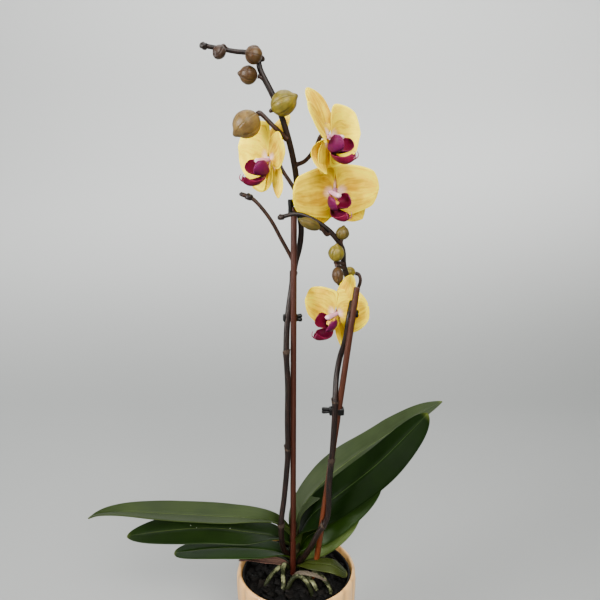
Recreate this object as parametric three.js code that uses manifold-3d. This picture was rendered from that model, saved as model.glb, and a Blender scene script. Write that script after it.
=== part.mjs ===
// A moth orchid in bloom: a plant in a black nursery pot inside a ribbed ceramic cover pot.
// Millimetres, +Z up. The origin is the centre of the pot's underside, and -Y is the front.
import * as THREE from "three";
import { mergeVertices } from "three/addons/utils/BufferGeometryUtils.js";
import Module from "manifold-3d";

const wasm = await Module();
wasm.setup();

// ---- Driving dimensions ----
const GAP = 0.3; // clearance between pieces that touch
const POT_HEIGHT = 125;
const POT_RADIUS = 70; // over the ribs, at the widest
const POT_BASE_RADIUS = 58;
const POT_FLOOR = 6;
const RIM_RADIUS = 68.5;
const RIM_INNER_RADIUS = 64.5;
const RIBS = 20;
const RIB_DEPTH = 1.4;
const RIB_TURN = -2.5; // degrees from the front to the nearest groove
const LINER_HEIGHT = 113;
const LINER_TOP_RADIUS = 62.5;
const LINER_BASE_RADIUS = 46;
const LINER_WALL = 1.4;
const BARK_TOP = 112;
const STAKE_RADIUS = 3.1;
const SPIKE_RADIUS = 2.9;
const PEDICEL_RADIUS = 1.9;
const FLOWER_STALK_RADIUS = 2.1;
const LEAF_THICKNESS = 1.8;
const TEPAL_THICKNESS = 1.1;
const HUB_RADIUS = 2.2;
const CROWN = { x: -2, y: 13, bottom: 96, top: 176, rx: 7, ry: 8.5 };

const COLOURS = {
  ceramic: ["#dcc4a0", 0.25],
  liner: ["#1c1a19", 0.5],
  bark: ["#3a2a20", 0.9],
  root: ["#8f9478", 0.6],
  leaf: ["#3d6a35", 0.35],
  witheredLeaf: ["#9a7468", 0.8],
  stem: ["#2f2024", 0.45],
  stake: ["#6e2f1c", 0.5],
  clip: ["#161616", 0.45],
  petal: ["#e3c273", 0.6],
  lip: ["#7d1440", 0.5],
  column: ["#e6c9c8", 0.5],
  greenBud: ["#a39a4a", 0.55],
  brownBud: ["#9c7a4a", 0.55],
};

const orchid = new THREE.Group();

// ---- Shared shapes ----
const vec = (x, y, z) => new THREE.Vector3(x, y, z);
const points = (rows) => rows.map((row) => vec(...row));
const curveThrough = (rows) => new THREE.CatmullRomCurve3(points(rows), false, "centripetal");
const mix = (a, b, t) => a + (b - a) * t;
const smooth = (t) => {
  const s = Math.min(Math.max(t, 0), 1);
  return s * s * (3 - 2 * s);
};

// A closed geometry made into a solid that can be joined and cut.
function solid(geometry) {
  const bare = geometry.index ? geometry.clone() : geometry;
  bare.deleteAttribute("normal");
  bare.deleteAttribute("uv");
  const merged = mergeVertices(bare, 1e-4);
  return new wasm.Manifold(
    new wasm.Mesh({
      numProp: 3,
      vertProperties: new Float32Array(merged.attributes.position.array),
      triVerts: new Uint32Array(merged.index.array),
    }),
  );
}

// The biggest part of a solid, with no sealed hollow in it and no scrap beside it.
function largest(body) {
  return body.decompose().reduce((big, next) => (next.volume() > big.volume() ? next : big));
}

function geometryOf(body) {
  const mesh = body.getMesh();
  const geometry = new THREE.BufferGeometry();
  geometry.setAttribute("position", new THREE.BufferAttribute(mesh.vertProperties, 3));
  geometry.setIndex(new THREE.BufferAttribute(mesh.triVerts, 1));
  geometry.computeVertexNormals();
  return geometry;
}

// Adds one named piece to the orchid, or to a group inside it.
function place(name, shape, finish, parent = orchid) {
  const [color, roughness] = COLOURS[finish];
  const geometry = shape.isBufferGeometry ? shape : geometryOf(shape);
  const material = new THREE.MeshStandardMaterial({ color, roughness, metalness: 0 });
  const mesh = new THREE.Mesh(geometry, material);
  mesh.name = name;
  parent.add(mesh);
}

// Moves every vertex of a geometry with a function of its old position.
function shaped(geometry, move) {
  const position = geometry.attributes.position;
  for (let i = 0; i < position.count; i += 1) {
    const spot = move(position.getX(i), position.getY(i), position.getZ(i));
    position.setXYZ(i, spot.x, spot.y, spot.z);
  }
  return geometry;
}

// A solid of revolution about Z from [radius, height] rows, with angle 0 at the front.
function turned(rows, segments) {
  const outline = rows.map(([radius, height]) => new THREE.Vector2(radius, height));
  return new THREE.LatheGeometry(outline, segments).rotateX(Math.PI / 2);
}

// A round stem along a curve whose radius changes from one end to the other.
function stem(curve, radiusAt, { sides = 8, steps = 12 } = {}) {
  const frames = curve.computeFrenetFrames(steps, false);
  const tube = new THREE.CylinderGeometry(1, 1, 1, sides, steps);
  return shaped(tube, (x, y, z) => {
    const t = 0.5 + y;
    const i = Math.round(t * steps);
    const radius = radiusAt(t);
    return curve
      .getPointAt(t)
      .addScaledVector(frames.normals[i], z * radius)
      .addScaledVector(frames.binormals[i], x * radius);
  });
}

// A thin blade: a slab whose (along, across, through) coordinates are mapped to a surface.
// along runs from 0 to 1, across from -1 to 1 and through from -0.5 to 0.5.
function slab(steps, columns, surface) {
  const box = new THREE.BoxGeometry(1, 1, 1, steps, columns, 1);
  return shaped(box, (x, y, z) => surface(x + 0.5, y * 2, z));
}

// Half the width of a blade along its length: it opens out from its base to full width at
// `shoulder`, then closes to its tip. A low `tip` value is round, and 1 is pointed. A low
// `swell` value opens at once.
function bladeWidth(along, { base, shoulder, tip, swell = 1.2 }) {
  if (along < shoulder) return mix(base, 1, Math.sin((Math.PI / 2) * (along / shoulder)) ** swell);
  const past = (along - shoulder) / (1 - shoulder);
  return Math.max(1 - past ** 2.2, 0) ** tip;
}

// ---- Pots ----
function outerPot() {
  const shoulder = POT_HEIGHT - 7;
  const rows = [
    [0, 0],
    [POT_BASE_RADIUS - 2, 0],
    [POT_BASE_RADIUS, 2],
    [POT_BASE_RADIUS + 3.2, 20],
    [POT_BASE_RADIUS + 7.2, 50],
    [POT_BASE_RADIUS + 10.4, 80],
    [POT_RADIUS, 104],
    [POT_RADIUS, shoulder],
    [RIM_RADIUS, POT_HEIGHT - 2],
    [RIM_RADIUS - 2, POT_HEIGHT],
    [RIM_INNER_RADIUS, POT_HEIGHT - 2],
    [RIM_INNER_RADIUS - 0.5, 80],
    [POT_BASE_RADIUS - 6, 12],
    [POT_BASE_RADIUS - 12, POT_FLOOR],
    [0, POT_FLOOR],
  ];
  const pot = turned(rows, RIBS * 3);
  return shaped(pot, (x, y, z) => {
    const radius = Math.hypot(x, y);
    const isRibbed = z > 2.5 && z < POT_HEIGHT - 2.5 && radius > POT_BASE_RADIUS + 0.105 * z;
    if (!isRibbed) return vec(x, y, z);
    const turn = Math.atan2(x, -y) - THREE.MathUtils.degToRad(RIB_TURN);
    const groove = Math.abs(Math.cos((turn * RIBS) / 2)) ** 6;
    const scale = 1 - (RIB_DEPTH * groove) / radius;
    return vec(x * scale, y * scale, z);
  });
}

function nurseryPot() {
  const bottom = POT_FLOOR + GAP;
  const top = bottom + LINER_HEIGHT;
  const rows = [
    [0, bottom],
    [LINER_BASE_RADIUS, bottom],
    [LINER_TOP_RADIUS - 1.5, top - 8],
    [LINER_TOP_RADIUS + 0.8, top - 7],
    [LINER_TOP_RADIUS + 0.8, top],
    [LINER_TOP_RADIUS - LINER_WALL, top],
    [LINER_TOP_RADIUS - LINER_WALL - 1.5, top - 8],
    [LINER_BASE_RADIUS - LINER_WALL, bottom + LINER_WALL],
    [0, bottom + LINER_WALL],
  ];
  let pot = solid(turned(rows, 32));
  for (let i = 0; i < 6; i += 1) {
    const turn = (i * Math.PI) / 3;
    const hole = new THREE.CylinderGeometry(4, 4, 10, 10).rotateX(Math.PI / 2);
    hole.translate(30 * Math.cos(turn), 30 * Math.sin(turn), bottom);
    pot = pot.subtract(solid(hole));
  }
  return pot;
}

// The bark fills the liner, with an uneven top and snug holes for the stakes, stem and roots.
function barkMix(fillers) {
  const bottom = POT_FLOOR + GAP + LINER_WALL + GAP;
  const slope = (LINER_TOP_RADIUS - 1.5 - LINER_BASE_RADIUS) / (LINER_HEIGHT - 8);
  const wall = LINER_WALL + 2 * GAP;
  const radiusAt = (z) => LINER_BASE_RADIUS - wall + slope * (z - bottom);
  const rows = [
    [0, bottom],
    [radiusAt(bottom), bottom],
    [radiusAt(BARK_TOP), BARK_TOP],
    [radiusAt(BARK_TOP) * 0.8, BARK_TOP],
    [radiusAt(BARK_TOP) * 0.55, BARK_TOP],
    [radiusAt(BARK_TOP) * 0.3, BARK_TOP],
    [0, BARK_TOP],
  ];
  const bed = shaped(turned(rows, 20), (x, y, z) => {
    const isTop = z > BARK_TOP - 1;
    const bumps = 1.6 * Math.sin(x * 0.31 + 1) * Math.cos(y * 0.27) + 1.2 * Math.sin(x * 0.11 - y * 0.4);
    return vec(x, y, isTop ? z + bumps : z);
  });
  return fillers.reduce((bark, filler) => bark.subtract(filler), solid(bed));
}

// ---- Crown and roots ----
const ROOTS = [
  [[0, 9, 112], [5, 0, 122], [5, -14, 126], [12, -29, 124], [17, -38, 118], [20, -43, 105]],
  [[1, 9, 114], [8, -1, 123], [9.5, -14, 125], [18, -25, 123], [23, -28, 118], [25, -28, 105]],
  [[3, 12, 114], [16, 5, 124], [28, -8, 127], [36, -23, 124], [40, -29, 117], [42, -31, 104]],
  [[0, 9, 108], [2, -3, 118], [-1, -14, 123], [-6, -25, 121], [-9, -32, 114], [-11, -38, 103]],
  [[-5, 10, 112], [-12, 4, 122], [-13, -9, 125], [-16, -20, 120], [-17, -26, 113], [-18, -29, 102]],
  [[-6, 13, 112], [-18, 6, 119], [-29, -6, 121], [-36, -16, 117], [-40, -22, 105]],
  [[-6, 16, 114], [-22, 22, 121], [-34, 26, 120], [-43, 29, 108]],
  [[0, 18, 116], [4, 32, 122], [2, 43, 118], [-2, 50, 105]],
  [[4, 15, 114], [20, 24, 121], [33, 28, 119], [42, 30, 106]],
];

function crownBody(extra) {
  const ball = new THREE.SphereGeometry(1, 10, 8).rotateX(Math.PI / 2);
  const middle = (CROWN.top + CROWN.bottom) / 2;
  const half = (CROWN.top - CROWN.bottom) / 2 + extra;
  ball.scale(CROWN.rx + extra, CROWN.ry + extra, half);
  return solid(ball.translate(CROWN.x, CROWN.y, middle));
}

function crownAndRoots(extra) {
  const radiusAt = (t) => mix(2.7, 2.1, t) + extra;
  return ROOTS.reduce((body, rows) => {
    const root = stem(curveThrough(rows), radiusAt, { sides: 5, steps: 6 });
    return body.add(solid(root));
  }, crownBody(extra));
}

// ---- Leaves ----
// Each leaf follows its midrib. `roll` turns the blade about the midrib, base then tip, and
// `fold` is how far each half rises from it, both in degrees.
const LEAVES = {
  leaf_upper_left: {
    midrib: [
      [-4, 12, 156], [-22, 6, 177], [-50, 2, 186], [-103, 1, 190],
      [-160, 1, 193.5], [-205, 0, 196], [-228, 0, 193], [-241, 0, 187],
    ],
    width: 45, base: 0.3, shoulder: 0.45, tip: 0.8, roll: [0, 0], fold: [40, 13],
  },
  leaf_middle_left: {
    midrib: [[-4, 11, 142], [-22, 9, 157], [-54, 5, 166], [-97, 3, 173], [-150, 1, 171], [-197, -1, 165]],
    width: 46, base: 0.3, shoulder: 0.5, tip: 0.58, roll: [0, -21], fold: [40, 6],
  },
  leaf_lower_left: {
    midrib: [[-4, 12, 124], [-20, 7, 138], [-54, 2, 147], [-100, 0, 148], [-143, -1, 143]],
    width: 40, base: 0.3, shoulder: 0.5, tip: 0.45, roll: [0, -4], fold: [35, 3],
  },
  leaf_upper_right: {
    midrib: [
      [0, 14, 165], [5, 18, 188], [31, 33, 217], [69, 47, 245],
      [111, 38, 282], [148, 33, 309.5], [169, 30, 320],
    ],
    width: 42, base: 0.3, shoulder: 0.5, tip: 0.8, swell: 1, roll: [0, 10], fold: [40, 10],
  },
  leaf_broad_right: {
    midrib: [
      [3, 13, 138], [14, 11, 171], [27, 7, 188], [47, 3, 208],
      [91, -4, 257.5], [125, -9, 298], [144, -11, 321],
    ],
    width: 48, base: 0.3, shoulder: 0.62, tip: 0.55, roll: [10, 48], fold: [30, -14],
  },
  leaf_middle_right: {
    midrib: [[1, 14, 128], [12, 13, 154], [28, 10, 166.5], [63, 5, 200], [98, 3, 227]],
    width: 40, base: 0.3, shoulder: 0.55, tip: 0.7, roll: [10, 45], fold: [30, -14],
  },
  leaf_lower_right: {
    midrib: [[1, 13, 116], [12, 13, 138], [28, 11, 151], [51, 7, 172], [74, 4, 195]],
    width: 36, base: 0.35, shoulder: 0.5, tip: 0.6, roll: [10, 50], fold: [25, -6],
  },
  leaf_short_right: {
    midrib: [[2, 5, 117], [7, -7, 131.5], [15, -19, 138], [34, -25, 138], [54, -23, 124]],
    width: 19, base: 0.35, shoulder: 0.65, tip: 0.45, roll: [0, 18], fold: [30, -8], steps: 10,
  },
  leaf_withered: {
    midrib: [[-5, 11, 114], [-20, 6, 124], [-40, 2, 130], [-56, 1, 133], [-68, 2, 131]],
    width: 15, base: 0.5, shoulder: 0.6, tip: 0.6, roll: [0, -20], fold: [40, 42], steps: 10,
  },
};

function leaf({ midrib, width, roll, fold, steps = 10, columns = 4, ...outline }) {
  const curve = curveThrough(midrib);
  return slab(steps, columns, (along, across, through) => {
    const tangent = curve.getTangentAt(along);
    const side = vec(0, 0, 1).cross(tangent).normalize();
    const reach = smooth(along / 0.35);
    side.applyAxisAngle(tangent, THREE.MathUtils.degToRad(mix(roll[0], roll[1], reach)));
    const face = tangent.clone().cross(side);
    const half = Math.max((width / 2) * bladeWidth(along, outline), 0.6);
    const rise = THREE.MathUtils.degToRad(mix(fold[0], fold[1], reach));
    const arm = Math.sqrt(across * across + 0.01) - 0.1;
    const thickness = LEAF_THICKNESS * (1 - 0.5 * across * across);
    return curve
      .getPointAt(along)
      .addScaledVector(side, half * across * Math.cos(rise))
      .addScaledVector(face, half * arm * Math.sin(rise) + through * thickness);
  });
}

// ---- Spikes ----
const SPIKE_TALL = [
  [-2, 8, 134], [-9.5, 5, 138], [-14.5, -2, 148], [-17, -6, 168], [-17, -7, 190],
  [-14, -5, 214], [-9.5, -4, 268], [-9.5, -4, 310], [-9, -4.5, 352], [-10.5, -4.5, 390],
  [-9, -0.5, 426], [-5, 5, 456], [-1, 6.5, 483], [4, 6.5, 503], [5.5, 6, 522],
  [1.5, 3, 551], [0.5, -3, 573.5], [-4, -11, 599], [-12.5, -16, 629], [-21, -17, 650],
  [-33.5, -18, 674.5], [-38, -18, 688], [-60, -21, 691.5], [-87, -23, 696],
];
const SPIKE_ARCHED = [
  [1, 7, 124], [6, -4, 136], [13, -13, 153], [25, -19, 181], [34.5, -19, 199],
  [36.5, -21.5, 243], [39.5, -24.6, 286], [41.5, -25, 330], [42, -22, 348], [43.5, -13, 366],
  [46.5, 1, 385], [50.5, 9, 404], [54, 9, 422], [56.5, 6, 438], [56, 0, 453],
  [53, -3, 468], [49.5, -12, 486], [47, -21, 504], [34.5, -26, 521], [16, -29, 534],
  [1.5, -30, 539], [-14.5, -32, 536],
];
const SIDE_BRANCH = [
  [-1, 6.5, 483], [-6, 5, 493], [-16, 2, 512], [-25, 0, 529],
  [-35, -2, 543], [-45, -3, 553], [-55, -4, 557],
];

// ---- Flowers ----
// yaw turns a flower's face to the right, pitch lifts it, and roll turns it clockwise as seen
// from its front, in degrees. A flower's own frame has X right, Y up and Z out of its face.
// `own` holds what differs from TEPALS in a flower's own sepals and petals.
const FLOWERS = {
  flower_left: {
    centre: [-26, -4, 591.5], yaw: -55, pitch: -5, roll: 3, size: 1.03,
    own: {
      dorsal_sepal: { sweep: -28 },
      left_petal: { angle: 163, length: 46, width: 60, sweep: 8, ear: 8 },
      right_petal: { angle: 38, length: 49, width: 38, layer: 2.9, sweep: 12, ear: 6 },
      left_sepal: { angle: 222, length: 44, width: 34, sweep: 4 },
      right_sepal: { angle: 293, width: 21, layer: -3.2, sweep: 1 },
    },
  },
  flower_top: {
    centre: [31, -34, 612.5], yaw: 53, pitch: -5, roll: 6, size: 1.1,
    own: {
      dorsal_sepal: { angle: 106, length: 40, sweep: -20 },
      left_petal: { angle: 148, length: 37, width: 34, layer: 3.4, sweep: -1, ear: 3 },
      left_sepal: { angle: 268, length: 32, width: 22, sweep: 2 },
      right_sepal: { angle: 294, length: 25, layer: -3.2, sweep: -4 },
      right_petal: { length: 38.5 },
    },
  },
  flower_front: {
    centre: [39.5, -8, 560.5], yaw: 15, pitch: -16, roll: -3, size: 1.03,
    own: {
      dorsal_sepal: { sweep: -23 },
      left_petal: { angle: 180 },
      right_petal: { angle: 3, length: 43 },
      left_sepal: { angle: 243, length: 42 },
      right_sepal: { angle: 315, length: 47, width: 32 },
    },
  },
  flower_low: {
    centre: [44, -5, 432.5], yaw: -45, pitch: -8, roll: 14, size: 0.96,
    own: {
      dorsal_sepal: { angle: 79, length: 46, width: 21, layer: -1.8, sweep: -9.5 },
      left_petal: { angle: 180, ear: 5 },
      right_petal: { angle: 32, length: 37, width: 50, sweep: -9.5, ear: 5 },
      left_sepal: { layer: -3, sweep: -6 },
      right_sepal: { angle: 285, length: 44, width: 20, layer: -1.4, sweep: 3 },
    },
  },
};

const SEPAL = { width: 28, layer: -1.4, base: 0.12, shoulder: 0.5, tip: 0.65, swell: 0.85, ear: 2 };
const PETAL = {
  length: 44, width: 54, layer: 1.4, sweep: 5, base: 0.1, shoulder: 0.44, tip: 0.5, swell: 0.6, ear: 14,
};
const TEPALS = {
  dorsal_sepal: { ...SEPAL, angle: 90, length: 44, sweep: -10 },
  left_sepal: { ...SEPAL, angle: 232, length: 39, width: 25, sweep: -2 },
  right_sepal: { ...SEPAL, angle: 308, length: 39, width: 25, layer: -2.9, sweep: -2 },
  left_petal: { ...PETAL, angle: 168 },
  right_petal: { ...PETAL, angle: 12 },
};

// One sepal or petal in its flower's frame. `sweep` is how far its tip bends forwards, `ear`
// how far its edges reach back past its foot.
function tepal({ angle, length, width, layer, sweep, ear, ...outline }) {
  const start = HUB_RADIUS + GAP;
  const turn = THREE.MathUtils.degToRad(angle);
  return slab(7, 4, (along, across, through) => {
    const half = Math.max((width / 2) * bladeWidth(along, outline), 0.5);
    const back = ear * across * across * Math.sin(Math.PI * Math.min(along * 1.15, 1));
    const out = start + (length - start) * along - back;
    const side = half * across;
    const bend = sweep * along * along - 1.6 * across * across * along;
    return vec(
      Math.cos(turn) * out - Math.sin(turn) * side,
      Math.sin(turn) * out + Math.cos(turn) * side,
      layer + bend + through * TEPAL_THICKNESS,
    );
  });
}

// The lip: a boat-shaped middle lobe with two upright side lobes and a callus between them.
function lip() {
  const keel = curveThrough([[0, -3, 2.5], [0, -8, 8], [0, -17, 14], [0, -21, 23], [0, -17, 32]]);
  const middle = slab(5, 2, (along, across, through) => {
    const half = 1.6 + 7.5 * Math.sin(Math.PI * smooth((along - 0.25) / 0.85)) ** 1.3;
    const spot = keel.getPointAt(along);
    const tangent = keel.getTangentAt(along);
    const face = vec(1, 0, 0).cross(tangent).negate();
    spot.x += half * across;
    return spot.addScaledVector(face, 3.2 * across * across * smooth(along * 2 - 0.6) + through * 1.2);
  });
  let body = solid(middle);
  for (const hand of [-1, 1]) {
    const spine = curveThrough([
      [hand * 1, -10.5, 9],
      [hand * 4.5, -9, 14],
      [hand * 7.5, -4, 18],
      [hand * 8, 2, 19],
    ]);
    const wing = vec(hand * 0.55, 0, 0.83);
    const lobe = slab(4, 2, (along, across, through) => {
      const half = 1.2 + 5.4 * Math.sin(Math.PI * Math.min(0.12 + 0.88 * along, 1)) ** 0.6;
      const face = spine.getTangentAt(along).cross(wing).normalize();
      return spine
        .getPointAt(along)
        .addScaledVector(wing, half * across)
        .addScaledVector(face, through * 1.2);
    });
    body = body.add(solid(lobe));
  }
  const callus = new THREE.SphereGeometry(2.6, 6, 4).translate(0, -8.5, 10);
  return largest(body.add(solid(callus)));
}

function column() {
  const curve = curveThrough([[0, 0, -4], [0, 0, 4], [0, -0.4, 14]]);
  return stem(curve, (t) => mix(HUB_RADIUS - 0.2, 2.6, smooth((t - 0.4) * 2)), { sides: 8, steps: 4 });
}

function flower(name, { centre, yaw, pitch, roll, size, own }) {
  const group = new THREE.Group();
  group.position.set(...centre);
  group.rotation.order = "ZXY";
  group.rotation.set(THREE.MathUtils.degToRad(90 - pitch), 0, THREE.MathUtils.degToRad(yaw));
  const spin = new THREE.Group();
  spin.rotation.z = THREE.MathUtils.degToRad(-roll);
  group.add(spin);
  orchid.add(group);
  for (const [part, common] of Object.entries(TEPALS)) {
    const shape = { ...common, ...own[part] };
    shape.length *= size;
    shape.width *= size;
    place(`${name}_${part}`, tepal(shape), "petal", spin);
  }
  place(`${name}_lip`, lip(), "lip", spin);
  place(`${name}_column`, column(), "column", spin);
  return group;
}

// ---- Buds ----
// A bud from its stalk to its tip.
const BUDS = {
  bud_tall_1: { base: [-68.5, -26, 694], tip: [-74, -35.5, 683], radius: 6.2, finish: "brownBud" },
  bud_tall_2: { base: [-33, -25, 685.5], tip: [-45.5, -36, 687.5], radius: 8.8, finish: "brownBud" },
  bud_tall_3: { base: [-36.5, -19, 669], tip: [-54.5, -22, 671.5], radius: 9, finish: "brownBud" },
  bud_tall_4: { base: [-22, -27, 637.5], tip: [1, -36, 649.5], radius: 12, finish: "greenBud" },
  bud_tall_5: { base: [-37, -19, 637.5], tip: [-58.5, -24, 616.5], radius: 14, finish: "brownBud" },
  bud_arched_1: { base: [26, -32, 521], tip: [5, -38, 531], radius: 5, finish: "brownBud" },
  bud_arched_2: { base: [46, -24.5, 513], tip: [48, -26.5, 527], radius: 6.4, finish: "greenBud" },
  bud_arched_3: { base: [40.5, -25, 491.5], tip: [41, -30, 509], radius: 7.8, finish: "greenBud" },
  bud_arched_4: { base: [41.5, -26, 485.5], tip: [43.5, -28, 467.5], radius: 6, finish: "brownBud" },
  bud_arched_5: { base: [63, 4, 474], tip: [51, 4, 477], radius: 6, finish: "greenBud" },
};

function bud({ base, tip, radius }) {
  const from = vec(...base);
  const axis = vec(...tip).sub(from);
  const length = axis.length();
  const turn = new THREE.Quaternion().setFromUnitVectors(vec(0, 1, 0), axis.normalize());
  const ball = new THREE.SphereGeometry(1, 8, 6);
  return shaped(ball, (x, y, z) => {
    const along = 0.5 + y / 2;
    const full = radius * (1 - 0.16 * smooth((along - 0.4) * 1.6));
    return vec(x * full, along * length, z * full).applyQuaternion(turn).add(from);
  });
}

// ---- Stalks, spikes and stakes ----
function stalk(rows, radius = PEDICEL_RADIUS, steps = 6) {
  return solid(stem(curveThrough(rows), (t) => radius * mix(1.15, 0.9, t), { sides: 6, steps }));
}

// The stalk of a bud runs from a place on its spike, past any bends, to just below the bud.
function budStalk(name, route, radius) {
  const { base, tip } = BUDS[name];
  const end = vec(...base);
  const axis = vec(...tip).sub(end).normalize();
  end.addScaledVector(axis, -GAP);
  const before = end.clone().addScaledVector(axis, -2);
  return stalk([...route, before.toArray(), end.toArray()], radius);
}

// The stalk of a flower ends square behind the flower's hub.
function flowerStalk(flowerGroup, route) {
  const spin = flowerGroup.children[0];
  flowerGroup.updateMatrixWorld(true);
  const end = spin.localToWorld(vec(0, 0, -4 - GAP));
  const before = spin.localToWorld(vec(0, 0, -8));
  return stalk([...route, before.toArray(), end.toArray()], FLOWER_STALK_RADIUS);
}

function knob(spot, radius) {
  return solid(new THREE.SphereGeometry(radius, 6, 4).translate(...spot));
}

const joined = (bodies) => bodies.reduce((all, body) => all.add(body));
const endTaper = (t) => mix(1, 0.78, smooth((t - 0.87) * 9));
const tallRadius = (t) => mix(SPIKE_RADIUS, 2.6, smooth((t - 0.5) * 2)) * endTaper(t);
const archedRadius = (t) => mix(SPIKE_RADIUS - 0.4, 2.4, smooth((t - 0.5) * 2)) * endTaper(t);

// The room that a spike takes up, with its clearance.
function spikeRoom(rows) {
  return solid(stem(curveThrough(rows), () => SPIKE_RADIUS + GAP, { sides: 7, steps: 36 }));
}

function spikeTall(flowers, crown) {
  const main = stem(curveThrough(SPIKE_TALL), tallRadius, { sides: 7, steps: 36 });
  return joined([
    solid(main),
    stalk(SIDE_BRANCH, 2.1, 12),
    knob([-48, -3.3, 554.5], 3.6),
    knob(SIDE_BRANCH.at(-1), 2.3),
    knob([-69, -21.7, 694], 3),
    knob([-86.2, -23, 695.6], 3.4),
    flowerStalk(flowers.flower_left, [[1, 1, 558], [-5, 1, 568], [-13, 0, 580]]),
    flowerStalk(flowers.flower_top, [[-1, -7, 586], [9, -12, 590], [19, -22, 602]]),
    flowerStalk(flowers.flower_front, [[3, 4, 543], [14, 6, 553], [28, 4, 562]]),
    budStalk("bud_tall_1", [[-65, -21.5, 693]], 1.7),
    budStalk("bud_tall_2", [[-36, -18, 684], [-31, -20, 684]]),
    budStalk("bud_tall_3", [[-29, -18, 665]]),
    budStalk("bud_tall_4", [[-18, -17, 641]]),
    budStalk("bud_tall_5", [[-9, -14.5, 612], [-21, -18, 624]]),
  ]).subtract(crown);
}

function spikeArched(flowers, crown) {
  const main = stem(curveThrough(SPIKE_ARCHED), archedRadius, { sides: 7, steps: 36 });
  return joined([
    solid(main),
    knob([-14.2, -32, 536], 3),
    flowerStalk(flowers.flower_low, [[56.5, 6, 441], [53.5, 7, 437]]),
    budStalk("bud_arched_1", [[34.5, -26, 520], [31, -29, 518.5]]),
    budStalk("bud_arched_2", [[46.5, -21.5, 505]]),
    budStalk("bud_arched_3", [[50, -12, 483], [45, -19, 484.5]]),
    budStalk("bud_arched_4", [[49, -14.5, 487], [44, -22, 489]]),
    budStalk("bud_arched_5", [[56, 1, 450], [60, 3, 451], [66, 2, 458], [68.5, 2, 467], [67, 3, 472.5]]),
  ]).subtract(crown);
}

const STAKE_TALL = [[-4.5, -1, 24], [-2, -1, 544]];
const STAKE_SHORT = [[9.6, -3.2, 24], [62, -29, 465]];

function stake([from, to], extra) {
  const curve = new THREE.LineCurve3(vec(...from), vec(...to));
  return solid(stem(curve, () => STAKE_RADIUS + extra, { sides: 10, steps: 1 }));
}

// ---- Clips ----
// A clip is a jaw behind a stake and a spike, with a pair of levers to press it open. `hand` is
// the side that the levers are on, and a closed clip meets in front of what it holds too.
const CLIP_HEIGHT = 8;
const CLIPS = {
  clip_tall_lower: { at: [-5.8, -0.8, 426], along: 8, width: 16, hand: 1, lever: [6.5, 4.6, 7.6] },
  clip_tall_upper: { at: [0.3, 0.6, 538.5], along: 35, width: 14, hand: -1, lever: [13, 5, 4.2], up: true },
  clip_short_lower: {
    at: [43.6, -19.6, 328], along: 0, width: 16, hand: -1, lever: [9.5, 4.4, 5.7], closed: true,
  },
  clip_short_upper: { at: [58.7, -27.4, 437], along: 0, width: 9.6, hand: 1, lever: [2.6, 4.4, 6.5] },
};

function clip({ at, along, width, hand, lever, up, closed }, cutters) {
  const [length, depth, thick] = lever;
  const [jawDepth, jawShift] = closed ? [9.8, 0] : [7.4, 2];
  const jaw = new THREE.BoxGeometry(width, jawDepth, CLIP_HEIGHT).translate(0, jawShift, 0);
  const levers = up
    ? new THREE.BoxGeometry(thick, depth, length).translate(0, 0, length / 2)
    : new THREE.BoxGeometry(length, depth, thick).translate((hand * length) / 2, 0, 0);
  levers.translate(hand * (width / 2 - 1.5), 1.5, 0);
  const body = solid(jaw).add(solid(levers)).rotate([0, 0, along]).translate(at);
  return largest(cutters.reduce((rest, cutter) => rest.subtract(cutter), body));
}

// ---- The whole plant ----
const crownRoom = crownAndRoots(GAP);
const tallStake = stake(STAKE_TALL, 0);
const shortStake = stake(STAKE_SHORT, 0);
const tallStakeRoom = stake(STAKE_TALL, GAP);
const shortStakeRoom = stake(STAKE_SHORT, GAP);

place("outer_pot", solid(outerPot()), "ceramic");
place("nursery_pot", nurseryPot(), "liner");
place("bark_mix", barkMix([crownRoom, tallStakeRoom, shortStakeRoom]), "bark");
place("crown_and_roots", largest(crownAndRoots(0)), "root");
place("stake_tall", tallStake, "stake");
place("stake_short", shortStake, "stake");

for (const [name, shape] of Object.entries(LEAVES)) {
  const finish = name === "leaf_withered" ? "witheredLeaf" : "leaf";
  place(name, largest(solid(leaf(shape)).subtract(crownRoom)), finish);
}

const flowers = {};
for (const [name, pose] of Object.entries(FLOWERS)) flowers[name] = flower(name, pose);

const spikes = {
  spike_tall: spikeTall(flowers, crownRoom),
  spike_arched: spikeArched(flowers, crownRoom),
};
for (const [name, body] of Object.entries(spikes)) place(name, largest(body), "stem");

const clipCutters = {
  clip_tall_lower: [tallStakeRoom, spikeRoom(SPIKE_TALL)],
  clip_tall_upper: [tallStakeRoom, spikeRoom(SPIKE_TALL)],
  clip_short_lower: [shortStakeRoom, spikeRoom(SPIKE_ARCHED)],
  clip_short_upper: [shortStakeRoom],
};
for (const [name, shape] of Object.entries(CLIPS)) place(name, clip(shape, clipCutters[name]), "clip");

for (const [name, shape] of Object.entries(BUDS)) place(name, solid(bud(shape)), shape.finish);

export default orchid;
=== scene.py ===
"""A moth orchid in bloom: a staked plant in a black nursery pot inside a ribbed cover pot.

Lengths in the tables are millimetres, as a grower would measure the plant, and every mesh is
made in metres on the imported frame. +Z is up and -Y is the front.
"""

import logging
import random
from collections.abc import Callable, Sequence
from dataclasses import dataclass, replace
from enum import Enum
from functools import cache
from math import atan2, copysign, cos, exp, hypot, pi, radians, sin, sqrt, tau
from typing import Any

import bpy
from mathutils import Euler, Matrix, Quaternion, Vector, noise


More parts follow.
